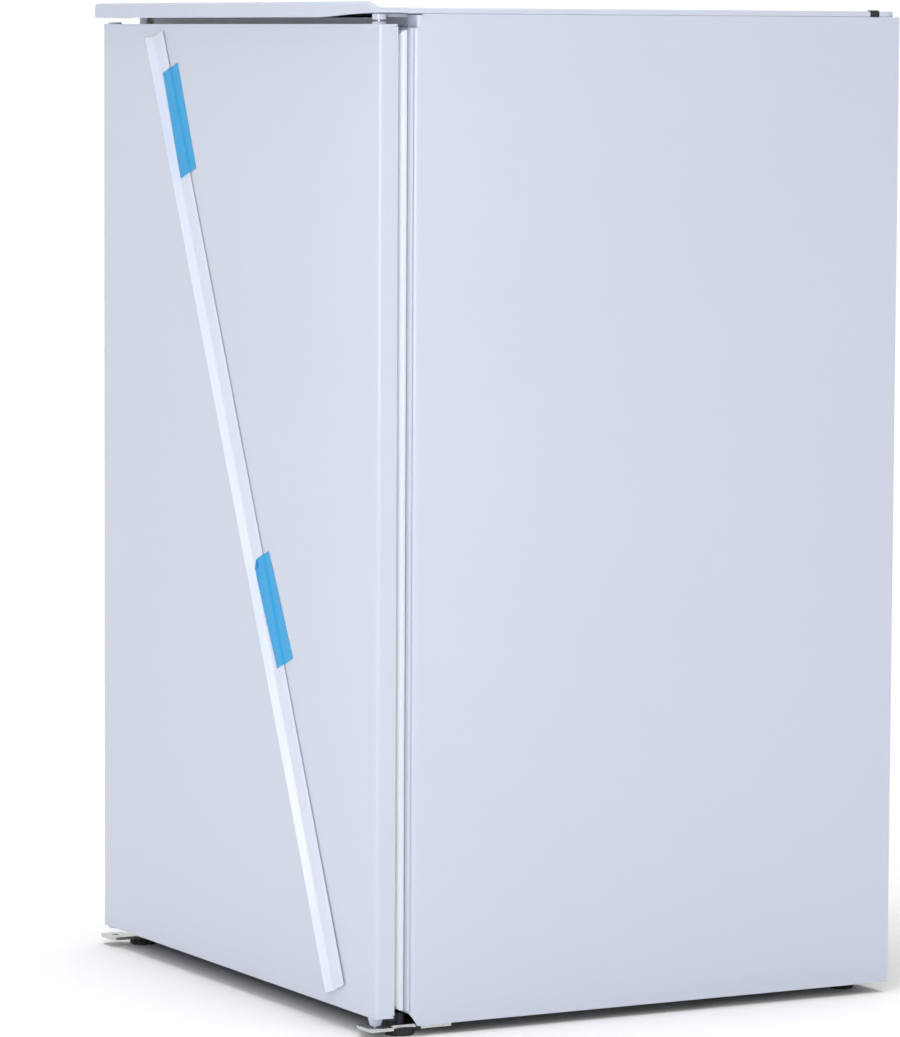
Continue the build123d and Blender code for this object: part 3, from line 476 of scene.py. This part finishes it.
@dataclass
class LooseStrip:
    """Loose white angle taped across the door, its flat flange on it and the other standing.

    Across runs from the crease over the flat flange, out runs from the door.

    Attributes:
        flat: Width of the flat flange.
        thick: Thickness of the plastic.
        stand_out: How far the standing flange reaches out from the door.
        stand_lean: How far its tip leans back over the crease.
        lift: How far the crease has sprung off the door at the lower end.
        lift_from: Share of the length at which it starts to lift.
        lift_kept: Share of the lift that the far edge of the flat flange is spared.
        bow: Sideways bend at mid length.
        top_cut: How much lower the top is cut at the flat flange's far edge.
        stations: Number of steps along the strip.
        top: Upper end of the crease on the door, as X and Z.
        low: Lower end of the crease on the door, as X and Z.
        door_y: The door's face.
        long: Length of the strip.
        down: Direction along the strip.
        side: Direction across it.
    """

    flat: float = 19 * MM
    thick: float = 1.2 * MM
    stand_out: float = 7.9 * MM
    stand_lean: float = 3.4 * MM
    lift: float = 1.3 * MM
    lift_from: float = 0.7
    lift_kept: float = 0.6
    bow: float = 0.5 * MM
    top_cut: float = 2.9 * MM
    stations: int = 60
    top: tuple[float, float] = (-156.7 * MM, 810.7 * MM)
    low: tuple[float, float] = (192.5 * MM, 29.8 * MM)
    door_y: float = field(init=False)
    long: float = field(init=False)
    down: Vector = field(init=False)
    side: Vector = field(init=False)

    def __post_init__(self) -> None:
        """Work out the line of the strip."""
        self.door_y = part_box("door_skin")[0].y
        run = Vector((self.low[0] - self.top[0], 0, self.low[1] - self.top[1]))
        self.long = run.length
        self.down = run.normalized()
        self.side = Vector((-self.down.z, 0, self.down.x))

    def point(self, along: float, across: float, out: float) -> Point:
        """Place of a point given along the strip, across it and out from the door.

        Args:
            along: Distance from the upper end.
            across: Distance from the crease.
            out: Distance from the door's face.

        Returns:
            The point.
        """
        start = Vector((self.top[0], self.door_y, self.top[1]))
        place = start + self.down * along + self.side * across + Vector((0, -out, 0))
        return tuple(place)

    def rise(self, along: float) -> float:
        """How far the crease has sprung off the door.

        Args:
            along: Distance from the upper end.

        Returns:
            The distance, in metres.
        """
        share = max(0.0, (along / self.long - self.lift_from) / (1 - self.lift_from))
        return self.lift * share * share

    def section(self, along: float) -> list[Point]:
        """Closed section of the angle.

        Args:
            along: Distance from the upper end.

        Returns:
            Points of the section.
        """
        rise = self.rise(along)
        bow = self.bow * math.sin(math.pi * along / self.long)
        lean = self.stand_lean + rise
        tall = self.stand_out - rise
        outline = [
            (0.0, 0.0),
            (self.flat * 0.5, 0.0),
            (self.flat - 0.3 * MM, 0.65 * MM),
            (self.flat, 0.75 * MM),
            (self.flat - 0.1 * MM, self.thick),
            (self.flat * 0.5, self.thick),
            (2.0 * MM, self.thick),
            (1.0 * MM, self.thick + 0.3 * MM),
            (0.4 * MM, self.thick + 1.0 * MM),
            (-lean + 1.2 * MM, tall - 0.1 * MM),
            (-lean + 0.7 * MM, tall),
            (-lean, tall - 0.4 * MM),
            (-1.0 * MM, 1.2 * MM),
            (-0.6 * MM, 0.3 * MM),
        ]
        cut = 0.0 if along else self.top_cut / self.flat
        points = []
        for across, out in outline:
            over = max(across, 0.0)
            height = out + rise * (1 - self.lift_kept * over / self.flat)
            points.append(self.point(along + cut * over, across + bow, height))
        return points

    def build(self, paints: Paints) -> bpy.types.Object:
        """Make the strip.

        Args:
            paints: The materials.

        Returns:
            The strip.
        """
        rings = [self.section(self.long * at / self.stations) for at in range(self.stations + 1)]
        piece = make_object("loose_strip", loft(rings, closed=False, capped=True), smooth=False)
        paints.dress(piece, "strip_plastic")
        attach(piece, "door")
        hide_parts("loose_trim_strip")
        return piece


@dataclass
class Tape:
    """One piece of film tape over the strip and down on to the door.

    Attributes:
        strip: The strip that it holds.
        name: Name of the piece.
        start: Distance of its upper edge from the strip's upper end.
        near: Edge nearest the crease, as its distance from it above and below.
        far: The other edge, in the same way.
        skew: How much lower the far edge starts.
        folded_corner: Whether the upper corner nearest the crease is folded over.
        long: Length.
        thick: Thickness of the film.
        seed: Place in the noise from which its creases are read.
        gap: Glue under the film.
        drop: Width of the slope off the strip's edge.
        crease: Height of the long creases.
        crease_on_strip: Share of that height which is left where the film lies on the strip.
        crease_run: Creases in a metre, across and along.
        ripple: Height of the fine ones.
        ripple_finer: How many times finer those are.
        end_lift: How far the cut ends stand off.
        end_reach: Distance from the ends over which they do.
        ragged: Unevenness of the long edges.
        ragged_run: How quickly it changes, along in a metre and from edge to edge.
        corner: Size of the folded corner.
        fold_stand: How far the folded film stands off at its crease.
        fold_spring: How much further it stands for each metre away from there.
        across_steps: Faces across.
        along_steps: Faces along.
    """

    strip: LooseStrip
    name: str
    start: float
    near: tuple[float, float]
    far: tuple[float, float]
    skew: float
    folded_corner: bool
    long: float = 97 * MM
    thick: float = 0.16 * MM
    seed: float = 0.0
    gap: float = 0.12 * MM
    drop: float = 2.6 * MM
    crease: float = 0.5 * MM
    crease_on_strip: float = 0.4
    crease_run: tuple[float, float] = (90.0, 28.0)
    ripple: float = 0.05 * MM
    ripple_finer: float = 3.1
    end_lift: float = 0.25 * MM
    end_reach: float = 6 * MM
    ragged: float = 0.25 * MM
    ragged_run: tuple[float, float] = (400.0, 9.0)
    corner: float = 7 * MM
    fold_stand: float = 0.35 * MM
    fold_spring: float = 0.1
    across_steps: int = 64
    along_steps: int = 96

    def height(self, across: float, along: float) -> float:
        """Height of the film over the door.

        Args:
            across: Distance from the strip's crease.
            along: Distance from the tape's upper edge.

        Returns:
            The height, in metres.
        """
        past_edge = (across - self.strip.flat + 0.2 * MM) / self.drop
        share = min(max(past_edge, 0.0), 1.0)
        share = share * share * (3 - 2 * share)
        run_across, run_along = self.crease_run
        place = Vector((across * run_across, along * run_along, self.seed))
        crease = abs(noise.noise(place)) ** 2 * self.crease
        ripple = noise.noise(place * self.ripple_finer) * self.ripple
        ends = min(along, self.long - along) / self.end_reach
        lifted = self.end_lift * max(0.0, 1 - ends) ** 2
        laid = self.gap + self.strip.thick * (1 - share)
        return laid + crease * (self.crease_on_strip + share) + ripple * share + lifted

    def build(self, paints: Paints) -> bpy.types.Object:
        """Make the tape.

        Args:
            paints: The materials.

        Returns:
            The tape.
        """
        mesh = bmesh.new()
        rows = []
        run_long, run_wide = self.ragged_run
        for up in range(self.along_steps + 1):
            along = self.long * up / self.along_steps
            down = up / self.along_steps
            near = self.near[0] + (self.near[1] - self.near[0]) * down
            far = self.far[0] + (self.far[1] - self.far[0]) * down
            row = []
            for over in range(self.across_steps + 1):
                share = over / self.across_steps
                across = near + (far - near) * share
                place = Vector((along * run_long, share * run_wide, self.seed))
                edge = self.ragged * noise.noise(place) if over in (0, self.across_steps) else 0.0
                slip = self.skew * (share - 0.5)
                out = self.height(across, along)
                along_strip = self.start + along + slip
                point = self.strip.point(along_strip, across + edge, out)
                row.append(mesh.verts.new(point))
            rows.append(row)
        for one, two in zip(rows, rows[1:]):
            for at in range(self.across_steps):
                mesh.faces.new((one[at], one[at + 1], two[at + 1], two[at]))
        if self.folded_corner:
            self.fold(mesh)
        piece = make_object(self.name, mesh)
        shell = piece.modifiers.new("film", "SOLIDIFY")
        shell.thickness = self.thick
        shell.offset = 0
        paints.dress(piece, "blue_tape")
        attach(piece, "door")
        return piece

    def fold(self, mesh: bmesh.types.BMesh) -> None:
        """Turn the upper corner nearest the crease over on itself.

        Args:
            mesh: The film, changed in place.
        """
        down, side = self.strip.down, self.strip.side
        origin = Vector(self.strip.point(self.start, self.near[0], 0))
        for vert in mesh.verts:
            along = (vert.co - origin).dot(down) + self.skew / 2
            across = (vert.co - origin).dot(side)
            past = (self.corner - along - across) / math.sqrt(2)
            if past > 0:
                vert.co += (down + side) * (past * math.sqrt(2))
                vert.co.y -= self.fold_stand + self.fold_spring * past


class Gasket:
    """Hollow vinyl seal: a foot in the door, one bellows fold and the magnet's pocket."""

    def section(self, front: float, back: float) -> list[tuple[float, float]]:
        """Section of the seal.

        Args:
            front: Where its foot sits on the door, along Y.
            back: Its face towards the cabinet.

        Returns:
            Points as (distance in from the seal's outer edge, place along Y).
        """
        return [
            (5.4 * MM, front),
            (5.2 * MM, front + 1.4 * MM),
            (4.2 * MM, front + 2.2 * MM),
            (3.9 * MM, front + 3.0 * MM),
            (4.4 * MM, front + 3.8 * MM),
            (3.0 * MM, front + 4.9 * MM),
            (1.4 * MM, front + 5.7 * MM),
            (0.4 * MM, front + 6.8 * MM),
            (0.0, front + 8.2 * MM),
            (0.0, back - 1.3 * MM),
            (0.35 * MM, back - 0.5 * MM),
            (1.1 * MM, back - 0.1 * MM),
            (4.9 * MM, back),
            (8.6 * MM, back),
            (9.0 * MM, back - 0.5 * MM),
            (9.4 * MM, back),
            (14.0 * MM, back),
            (16.5 * MM, back - 1.2 * MM),
            (18.6 * MM, back - 3.2 * MM),
            (19.0 * MM, back - 4.6 * MM),
            (18.0 * MM, front + 4.7 * MM),
            (15.0 * MM, front + 4.0 * MM),
            (16.6 * MM, front + 2.4 * MM),
            (17.0 * MM, front),
        ]

    def build(self, paints: Paints) -> bpy.types.Object:
        """Make the seal as one mitred ring.

        Args:
            paints: The materials.

        Returns:
            The seal.
        """
        low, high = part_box("door_gasket")
        front, back = low.y, high.y
        rings = []
        corners = [(low.x, low.z), (high.x, low.z), (high.x, high.z), (low.x, high.z)]
        signs = [(1, 1), (-1, 1), (-1, -1), (1, -1)]
        for (x, z), (sx, sz) in zip(corners, signs):
            rings.append([(x + sx * u, y, z + sz * u) for u, y in self.section(front, back)])
        piece = make_object("gasket_ring", loft(rings, closed=True, capped=False), smooth=False)
        round_edges(piece, "soft_folds", 0.3 * MM, sharper_than=25)
        paints.dress(piece, "gasket_vinyl")
        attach(piece, "door")
        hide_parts("door_gasket")
        return piece


class Door:
    """Everything on the door that the CAD solids don't show."""

    def build(self, paints: Paints) -> list[bpy.types.Object]:
        """Make the strip, its tapes and the seal.

        Args:
            paints: The materials.

        Returns:
            The pieces.
        """
        strip = LooseStrip()
        upper = Tape(
            strip, "tape_upper", 37.6 * MM, (5.2 * MM, 0.8 * MM), (33.8 * MM, 30.9 * MM), 2.6 * MM,
            False, seed=2.0,
        )
        lower = Tape(
            strip, "tape_lower", 482.2 * MM, (0.5 * MM, 7.1 * MM), (30.0 * MM, 36.6 * MM), 0.4 * MM,
            True, seed=7.5,
        )
        pieces = [strip.build(paints), upper.build(paints), lower.build(paints)]
        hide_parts("door_tapes")
        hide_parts("door_tapes")
        pieces.append(Gasket().build(paints))
        return pieces


# ------------------------------------------------------------------------- the cold room


@dataclass
class Dial:
    """Thermostat dial with a ribbed edge, a grip and numbered marks.

    Attributes:
        radius: Radius over the ribs.
        ribs: Number of ribs.
        rib: Half the height of a rib.
        steps_per_rib: Points round each rib.
        face_depth: How far the dial's face lies behind the grip's.
        thick: Thickness of the dial.
        dish: Depth of the sunk face.
        numbers: Number of marks.
        number_size: Height of a number.
        number_reach: Distance of the numbers from the axis, as a share of the radius.
        sweep: Angle from the first number to the last, in degrees.
    """

    radius: float = 18 * MM
    ribs: int = 36
    rib: float = 0.35 * MM
    steps_per_rib: int = 4
    face_depth: float = 6.6 * MM
    thick: float = 9.4 * MM
    dish: float = 0.5 * MM
    numbers: int = 7
    number_size: float = 3.4 * MM
    number_reach: float = 0.62
    sweep: float = 240.0

    def build(self, paints: Paints) -> list[bpy.types.Object]:
        """Make the dial and its marks.

        Args:
            paints: The materials.

        Returns:
            The pieces.
        """
        low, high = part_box("thermostat_knob")
        centre = Vector((0, (low.y + high.y) / 2, (low.z + high.z) / 2))
        face = low.x + self.face_depth
        back = face + self.thick
        rings = []
        steps = self.ribs * self.steps_per_rib
        profile = [(back, 1.0), (face + 1.6 * MM, 1.0), (face + 0.4 * MM, 0.95), (face, 0.86)]
        for x, share in profile + [(face + self.dish, 0.80), (face + self.dish, 0.05)]:
            ring = []
            for at in range(steps):
                turn = math.tau * at / steps
                rib = self.rib * math.cos(self.ribs * turn) if share > 0.9 else 0.0
                reach = self.radius * share + rib - self.rib
                ring.append(
                    (x, centre.y + reach * math.cos(turn), centre.z + reach * math.sin(turn))
                )
            rings.append(ring)
        dial = make_object("thermostat_dial", loft(rings, closed=False, capped=True))
        grip = self.grip(low.x, face + 1 * MM, centre)
        shaft = self.shaft(back, high.x, centre)
        pieces = [dial, grip, shaft]
        for piece in pieces:
            paints.dress(piece, "white_moulding")
        pieces += self.marks(face + self.dish, centre, paints)
        for piece in pieces:
            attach(piece, "thermostat_knob")
        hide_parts("thermostat_knob")
        return pieces

    def grip(self, tip: float, root: float, centre: Vector) -> bpy.types.Object:
        """Tapered bar across the dial.

        Args:
            tip: X of its outer face.
            root: X where it meets the dial.
            centre: The dial's axis.

        Returns:
            The bar.
        """
        rings = []
        levels = ((root, 4.2, 14.6), (tip + 1 * MM, 3.0, 13.6), (tip, 2.2, 12.6))
        for x, half_wide, half_tall in levels:
            ring = []
            for at in range(32):
                turn = math.tau * at / 32
                wide = half_wide * math.copysign(abs(math.cos(turn)) ** 0.5, math.cos(turn))
                tall = half_tall * math.copysign(abs(math.sin(turn)) ** 0.35, math.sin(turn))
                ring.append((x, centre.y + wide * MM, centre.z + tall * MM))
            rings.append(ring)
        return make_object("dial_grip", loft(rings, closed=False, capped=True))

    def shaft(self, start: float, end: float, centre: Vector) -> bpy.types.Object:
        """Shaft behind the dial, with its end broken to a cone.

        Args:
            start: X where it leaves the dial.
            end: X of its tip.
            centre: The dial's axis.

        Returns:
            The shaft.
        """
        rings = []
        for x, radius in ((start, 3.0), (end - 1 * MM, 3.0), (end, 2.2)):
            rings.append(
                [
                    (
                        x,
                        centre.y + radius * MM * math.cos(math.tau * at / 24),
                        centre.z + radius * MM * math.sin(math.tau * at / 24),
                    )
                    for at in range(24)
                ]
            )
        return make_object("dial_shaft", loft(rings, closed=False, capped=True))

    def marks(self, face: float, centre: Vector, paints: Paints) -> list[bpy.types.Object]:
        """Numbers round the face of the dial.

        Args:
            face: X of the face.
            centre: The dial's axis.
            paints: The materials.

        Returns:
            One text object per number.
        """
        pieces = []
        for number in range(self.numbers):
            turn = math.radians(self.sweep * (number / (self.numbers - 1) - 0.5))
            text = bpy.data.curves.new(f"dial_number_{number}", "FONT")
            text.body = str(number)
            text.size = self.number_size
            text.extrude = 0.08 * MM
            text.align_x = "CENTER"
            text.align_y = "CENTER"
            piece = bpy.data.objects.new(f"dial_number_{number}", text)
            bpy.context.scene.collection.objects.link(piece)
            reach = self.radius * self.number_reach
            spot = Vector((face, -reach * math.sin(turn), reach * math.cos(turn)))
            spot.y += centre.y
            spot.z += centre.z
            facing = Matrix(((0, 0, -1), (-1, 0, 0), (0, 1, 0))).to_4x4()
            piece.matrix_world = Matrix.Translation(spot) @ facing
            piece.data.materials.append(paints.by_slot["black_plastic"])
            pieces.append(piece)
        return pieces


@dataclass
class Evaporator:
    """Raised refrigerant channels rolled into the walls of the freezer compartment.

    Attributes:
        pitch: Distance between rows.
        radius: Radius of a channel.
        wall: Thickness of the sheet.
        margin: Distance of the channel from the sheet's edges.
        bend_steps: Steps round each bend.
    """

    pitch: float = 24 * MM
    radius: float = 2.6 * MM
    wall: float = 2 * MM
    margin: float = 26 * MM
    bend_steps: int = 8

    def build(self, paints: Paints) -> list[bpy.types.Object]:
        """Make the channels on the floor and the ceiling.

        Args:
            paints: The materials.

        Returns:
            The pieces.
        """
        low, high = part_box("icebox")
        floor = self.channel("evaporator_channel_floor", low, high, low.z + self.wall)
        ceiling = self.channel("evaporator_channel_ceiling", low, high, high.z - self.wall)
        for piece in (floor, ceiling):
            paints.dress(piece, "evaporator_aluminium")
            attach(piece, "cabinet")
        return [floor, ceiling]

    def channel(self, name: str, low: Vector, high: Vector, z: float) -> bpy.types.Object:
        """One serpentine channel, half sunk in the sheet.

        Args:
            name: Name of the piece.
            low: The evaporator's lowest corner.
            high: Its highest corner.
            z: Height of the sheet's face.

        Returns:
            The channel as a bevelled curve.
        """
        curve = bpy.data.curves.new(name, "CURVE")
        curve.dimensions = "3D"
        curve.bevel_depth = self.radius
        curve.bevel_resolution = 3
        spline = curve.splines.new("POLY")
        rows = int((high.y - low.y - 2 * self.margin) / self.pitch)
        points: list[Point] = []
        for row in range(rows + 1):
            y = low.y + self.margin + row * self.pitch
            ends = [low.x + self.margin, high.x - self.margin]
            if row % 2:
                ends.reverse()
            points.append((ends[0], y, z))
            points.append((ends[1], y, z))
            if row < rows:
                outward = math.copysign(1, ends[1] - ends[0])
                for step in range(1, self.bend_steps):
                    turn = math.pi * step / self.bend_steps
                    x = ends[1] + outward * math.sin(turn) * self.pitch / 2
                    points.append((x, y + (1 - math.cos(turn)) * self.pitch / 2, z))
        spline.points.add(len(points) - 1)
        for target, point in zip(spline.points, points):
            target.co = (*point, 1)
        piece = bpy.data.objects.new(name, curve)
        bpy.context.scene.collection.objects.link(piece)
        return piece


# ------------------------------------------------------------------------- the cooling system


@dataclass
class Compressor:
    """Details of the welded compressor pot.

    Attributes:
        seam_reach: How far the weld seam stands out.
        seam_half: Half of its height.
        seam_at: Its place up the pot, as a share of the pot's height.
        seam_root: How far it starts inside the pot's wall.
        oval: The pot's half depth as a share of its half width.
        stations: Steps round the pot.
    """

    seam_reach: float = 1.6 * MM
    seam_half: float = 2.2 * MM
    seam_at: float = 0.52
    seam_root: float = 0.6 * MM
    oval: float = 57 / 84
    stations: int = 96

    def build(self, paints: Paints) -> list[bpy.types.Object]:
        """Make the weld seam round the pot.

        Args:
            paints: The materials.

        Returns:
            The pieces.
        """
        low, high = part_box("compressor_shell")
        centre = (low + high) / 2
        half_x = (high.x - low.x) / 2
        half_y = half_x * self.oval
        z = low.z + (high.z - low.z) * self.seam_at
        section = [(-self.seam_root, -self.seam_half), (self.seam_reach, -self.seam_half * 0.6)]
        section += [(self.seam_reach, self.seam_half * 0.6), (-self.seam_root, self.seam_half)]
        rings = []
        for at in range(self.stations):
            turn = math.tau * at / self.stations
            rings.append(
                [
                    (
                        centre.x + (half_x + out) * math.cos(turn),
                        centre.y + (half_y + out) * math.sin(turn),
                        z + up,
                    )
                    for out, up in section
                ]
            )
        seam = make_object("compressor_weld_seam", loft(rings, closed=True, capped=False))
        paints.dress(seam, "black_enamel")
        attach(seam, "cabinet")
        return [seam]


# ------------------------------------------------------------------------- CAD nodes


class CadNodes:
    """The CAD pieces that stay in view, each with its finish and its softened edges."""

    SOFT_SLOTS = {"white_moulding": 0.5, "clear_plastic": 0.6, "shelf_glass": 0.5}
    KEEP_SHARP = ("hinge_bushes",)

    def dress(self, paints: Paints) -> int:
        """Give every CAD node its finish.

        Args:
            paints: The materials.

        Returns:
            How many nodes there are.
        """
        slots = {row["node"]: row["material_slot"] for row in frame["record"]["subparts"]}
        for name, node in frame["nodes"].items():
            slot = slots[name]
            paints.dress(node, slot)
            if slot in self.SOFT_SLOTS and name not in self.KEEP_SHARP:
                soften(node, self.SOFT_SLOTS[slot])
        return len(slots)


# ------------------------------------------------------------------------- studio


@dataclass
class Studio:
    """Floor, lights and camera.

    Attributes:
        floor_half: Half the width of the floor.
        backdrop_faces: Direction of the bright backdrop's middle.
        backdrop_spread: Cosines to that direction where the backdrop ends and where it is full.
        backdrop_rise: Height of a direction at which the surround starts and ends its fall.
        backdrop_strength: Strength of the backdrop.
        room_strength: Strength of the rest of the surround.
        overhead_strength: Strength above both.
        ceiling_power: Strength of the light from above.
        ceiling_spread: Its angle, in degrees.
        key_place: Where the upright box hangs.
        key_aim: The point it faces.
        key_size: Its width and height.
        key_watts: Its power.
        lens: Focal length, in millimetres.
        sensor_width: Width of the sensor, in millimetres.
        clip: Nearest and farthest distance that the camera sees.
        camera_place: Where the camera stands.
        azimuth: Its angle round the fridge from straight in front, in degrees.
        elevation: Its angle over the horizon, in degrees.
        roll: Its tilt, in degrees.
        shift: Shift of the lens.
    """

    floor_half: float = 60.0
    backdrop_faces: Point = (-0.876, 0.474, 0.0)
    backdrop_spread: tuple[float, float] = (0.28, 0.8)
    backdrop_rise: tuple[float, float] = (0.2, 0.45)
    backdrop_strength: float = 1.03
    room_strength: float = 0.36
    overhead_strength: float = 0.45
    ceiling_power: float = 2.0
    ceiling_spread: float = 50.0
    key_place: Point = (1.5, -1.25, 1.0)
    key_aim: Point = (0.26, -0.26, 0.6)
    key_size: tuple[float, float] = (0.3, 1.4)
    key_watts: float = 11.5
    lens: float = 184.8
    sensor_width: float = 36.0
    clip: tuple[float, float] = (0.1, 200.0)
    camera_place: Point = (4.043, -2.246, 0.810)
    azimuth: float = 61.58
    elevation: float = 5.17
    roll: float = 0.29
    shift: tuple[float, float] = (0.001, 0.0024)

    def build(self) -> None:
        """Make the whole studio."""
        self.floor()
        self.world()
        self.lights()
        self.camera()

    def floor(self) -> None:
        """Wide pale floor under the fridge."""
        mesh = bmesh.new()
        bmesh.ops.create_grid(mesh, x_segments=2, y_segments=2, size=self.floor_half)
        floor = make_object("studio_floor", mesh)
        matt = Finish(
            "matt_white_floor", "FAFAFB", "F8F8F9", 900, Grain.SPARK, 2.0, 0.02, (0.80, 0.95),
            ior=1.4, specular=0.3,
        )
        floor.data.materials.append(matt.build())

    def world(self) -> None:
        """White backdrop, with a dimmer room on its other sides and overhead."""
        world = bpy.data.worlds.new("studio_surround")
        bpy.context.scene.world = world
        world.use_nodes = True
        tree = world.node_tree
        tree.nodes.clear()
        direction = add(tree, "ShaderNodeTexCoord").outputs["Generated"]
        parts = add(tree, "ShaderNodeSeparateXYZ", None, {"Vector": direction})
        facing = add(
            tree, "ShaderNodeVectorMath", {"operation": "DOT_PRODUCT"},
            {0: direction, 1: self.backdrop_faces},
        )
        across = self.ramp(
            tree, facing.outputs["Value"], self.backdrop_spread,
            (self.room_strength, self.backdrop_strength),
        )
        upward = self.ramp(tree, parts.outputs["Z"], self.backdrop_rise, (1.0, 0.0))
        strength = add(
            tree, "ShaderNodeMapRange", None,
            {"Value": upward, "To Min": self.overhead_strength, "To Max": across},
        )
        shine = add(
            tree, "ShaderNodeBackground", None,
            {"Color": linear("FFFFFF"), "Strength": strength.outputs["Result"]},
        )
        add(tree, "ShaderNodeOutputWorld", None, {"Surface": shine.outputs["Background"]})

    def ramp(
        self,
        tree: bpy.types.NodeTree,
        value: bpy.types.NodeSocket,
        span: tuple[float, float],
        ends: tuple[float, float],
    ) -> bpy.types.NodeSocket:
        """Smooth step from one level to another.

        Args:
            tree: The world's node tree.
            value: What drives the step.
            span: Values at which it starts and ends.
            ends: Levels at its start and end.

        Returns:
            Output with the level.
        """
        step = add(
            tree, "ShaderNodeMapRange", {"interpolation_type": "SMOOTHSTEP"},
            {
                "Value": value,
                "From Min": span[0],
                "From Max": span[1],
                "To Min": ends[0],
                "To Max": ends[1],
            },
        )
        return step.outputs["Result"]

    def lights(self) -> None:
        """Soft light from straight above, and a narrow box that catches the upright edges."""
        lamp = bpy.data.lights.new("ceiling_light", "SUN")
        lamp.energy = self.ceiling_power
        lamp.angle = math.radians(self.ceiling_spread)
        ceiling = bpy.data.objects.new("ceiling_light", lamp)
        bpy.context.scene.collection.objects.link(ceiling)
        ceiling.visible_camera = False
        self.key_box()

    def key_box(self) -> None:
        """Upright box light that the camera can't see."""
        lamp = bpy.data.lights.new("key_box", "AREA")
        lamp.shape = "RECTANGLE"
        lamp.size, lamp.size_y = self.key_size
        lamp.energy = self.key_watts
        box = bpy.data.objects.new("key_box", lamp)
        bpy.context.scene.collection.objects.link(box)
        box.location = self.key_place
        facing = Vector(self.key_aim) - Vector(self.key_place)
        box.rotation_euler = facing.to_track_quat("-Z", "Y").to_euler()
        box.visible_camera = False

    def camera(self) -> None:
        """Long lens at the near right-hand corner, just under the height of the top."""
        data = bpy.data.cameras.new("camera")
        data.lens = self.lens
        data.sensor_width = self.sensor_width
        data.shift_x, data.shift_y = self.shift
        data.clip_start, data.clip_end = self.clip
        turn, rise, roll = (math.radians(a) for a in (self.azimuth, self.elevation, self.roll))
        back = Vector(
            (math.sin(turn) * math.cos(rise), -math.cos(turn) * math.cos(rise), math.sin(rise))
        )
        right = Vector((math.cos(turn), math.sin(turn), 0))
        up = back.cross(right)
        tilted_right = right * math.cos(roll) + up * math.sin(roll)
        tilted_up = back.cross(tilted_right)
        camera = bpy.data.objects.new("camera", data)
        bpy.context.scene.collection.objects.link(camera)
        rows = Matrix((tilted_right, tilted_up, back)).transposed().to_4x4()
        camera.matrix_world = Matrix.Translation(self.camera_place) @ rows
        bpy.context.scene.camera = camera
        bpy.context.scene.view_settings.view_transform = "Standard"


def main() -> None:
    """Build the scene, one sub-assembly after another."""
    logging.basicConfig(level=logging.INFO, format="%(name)s: %(message)s")
    Studio().build()
    paints = Paints()
    LOG.info("%d CAD nodes dressed", CadNodes().dress(paints))
    for assembly in (Door(), Dial(), Evaporator(), Compressor()):
        for piece in assembly.build(paints):
            LOG.info("%s: %s", type(assembly).__name__, piece.name)


if __name__ == "__main__":
    main()
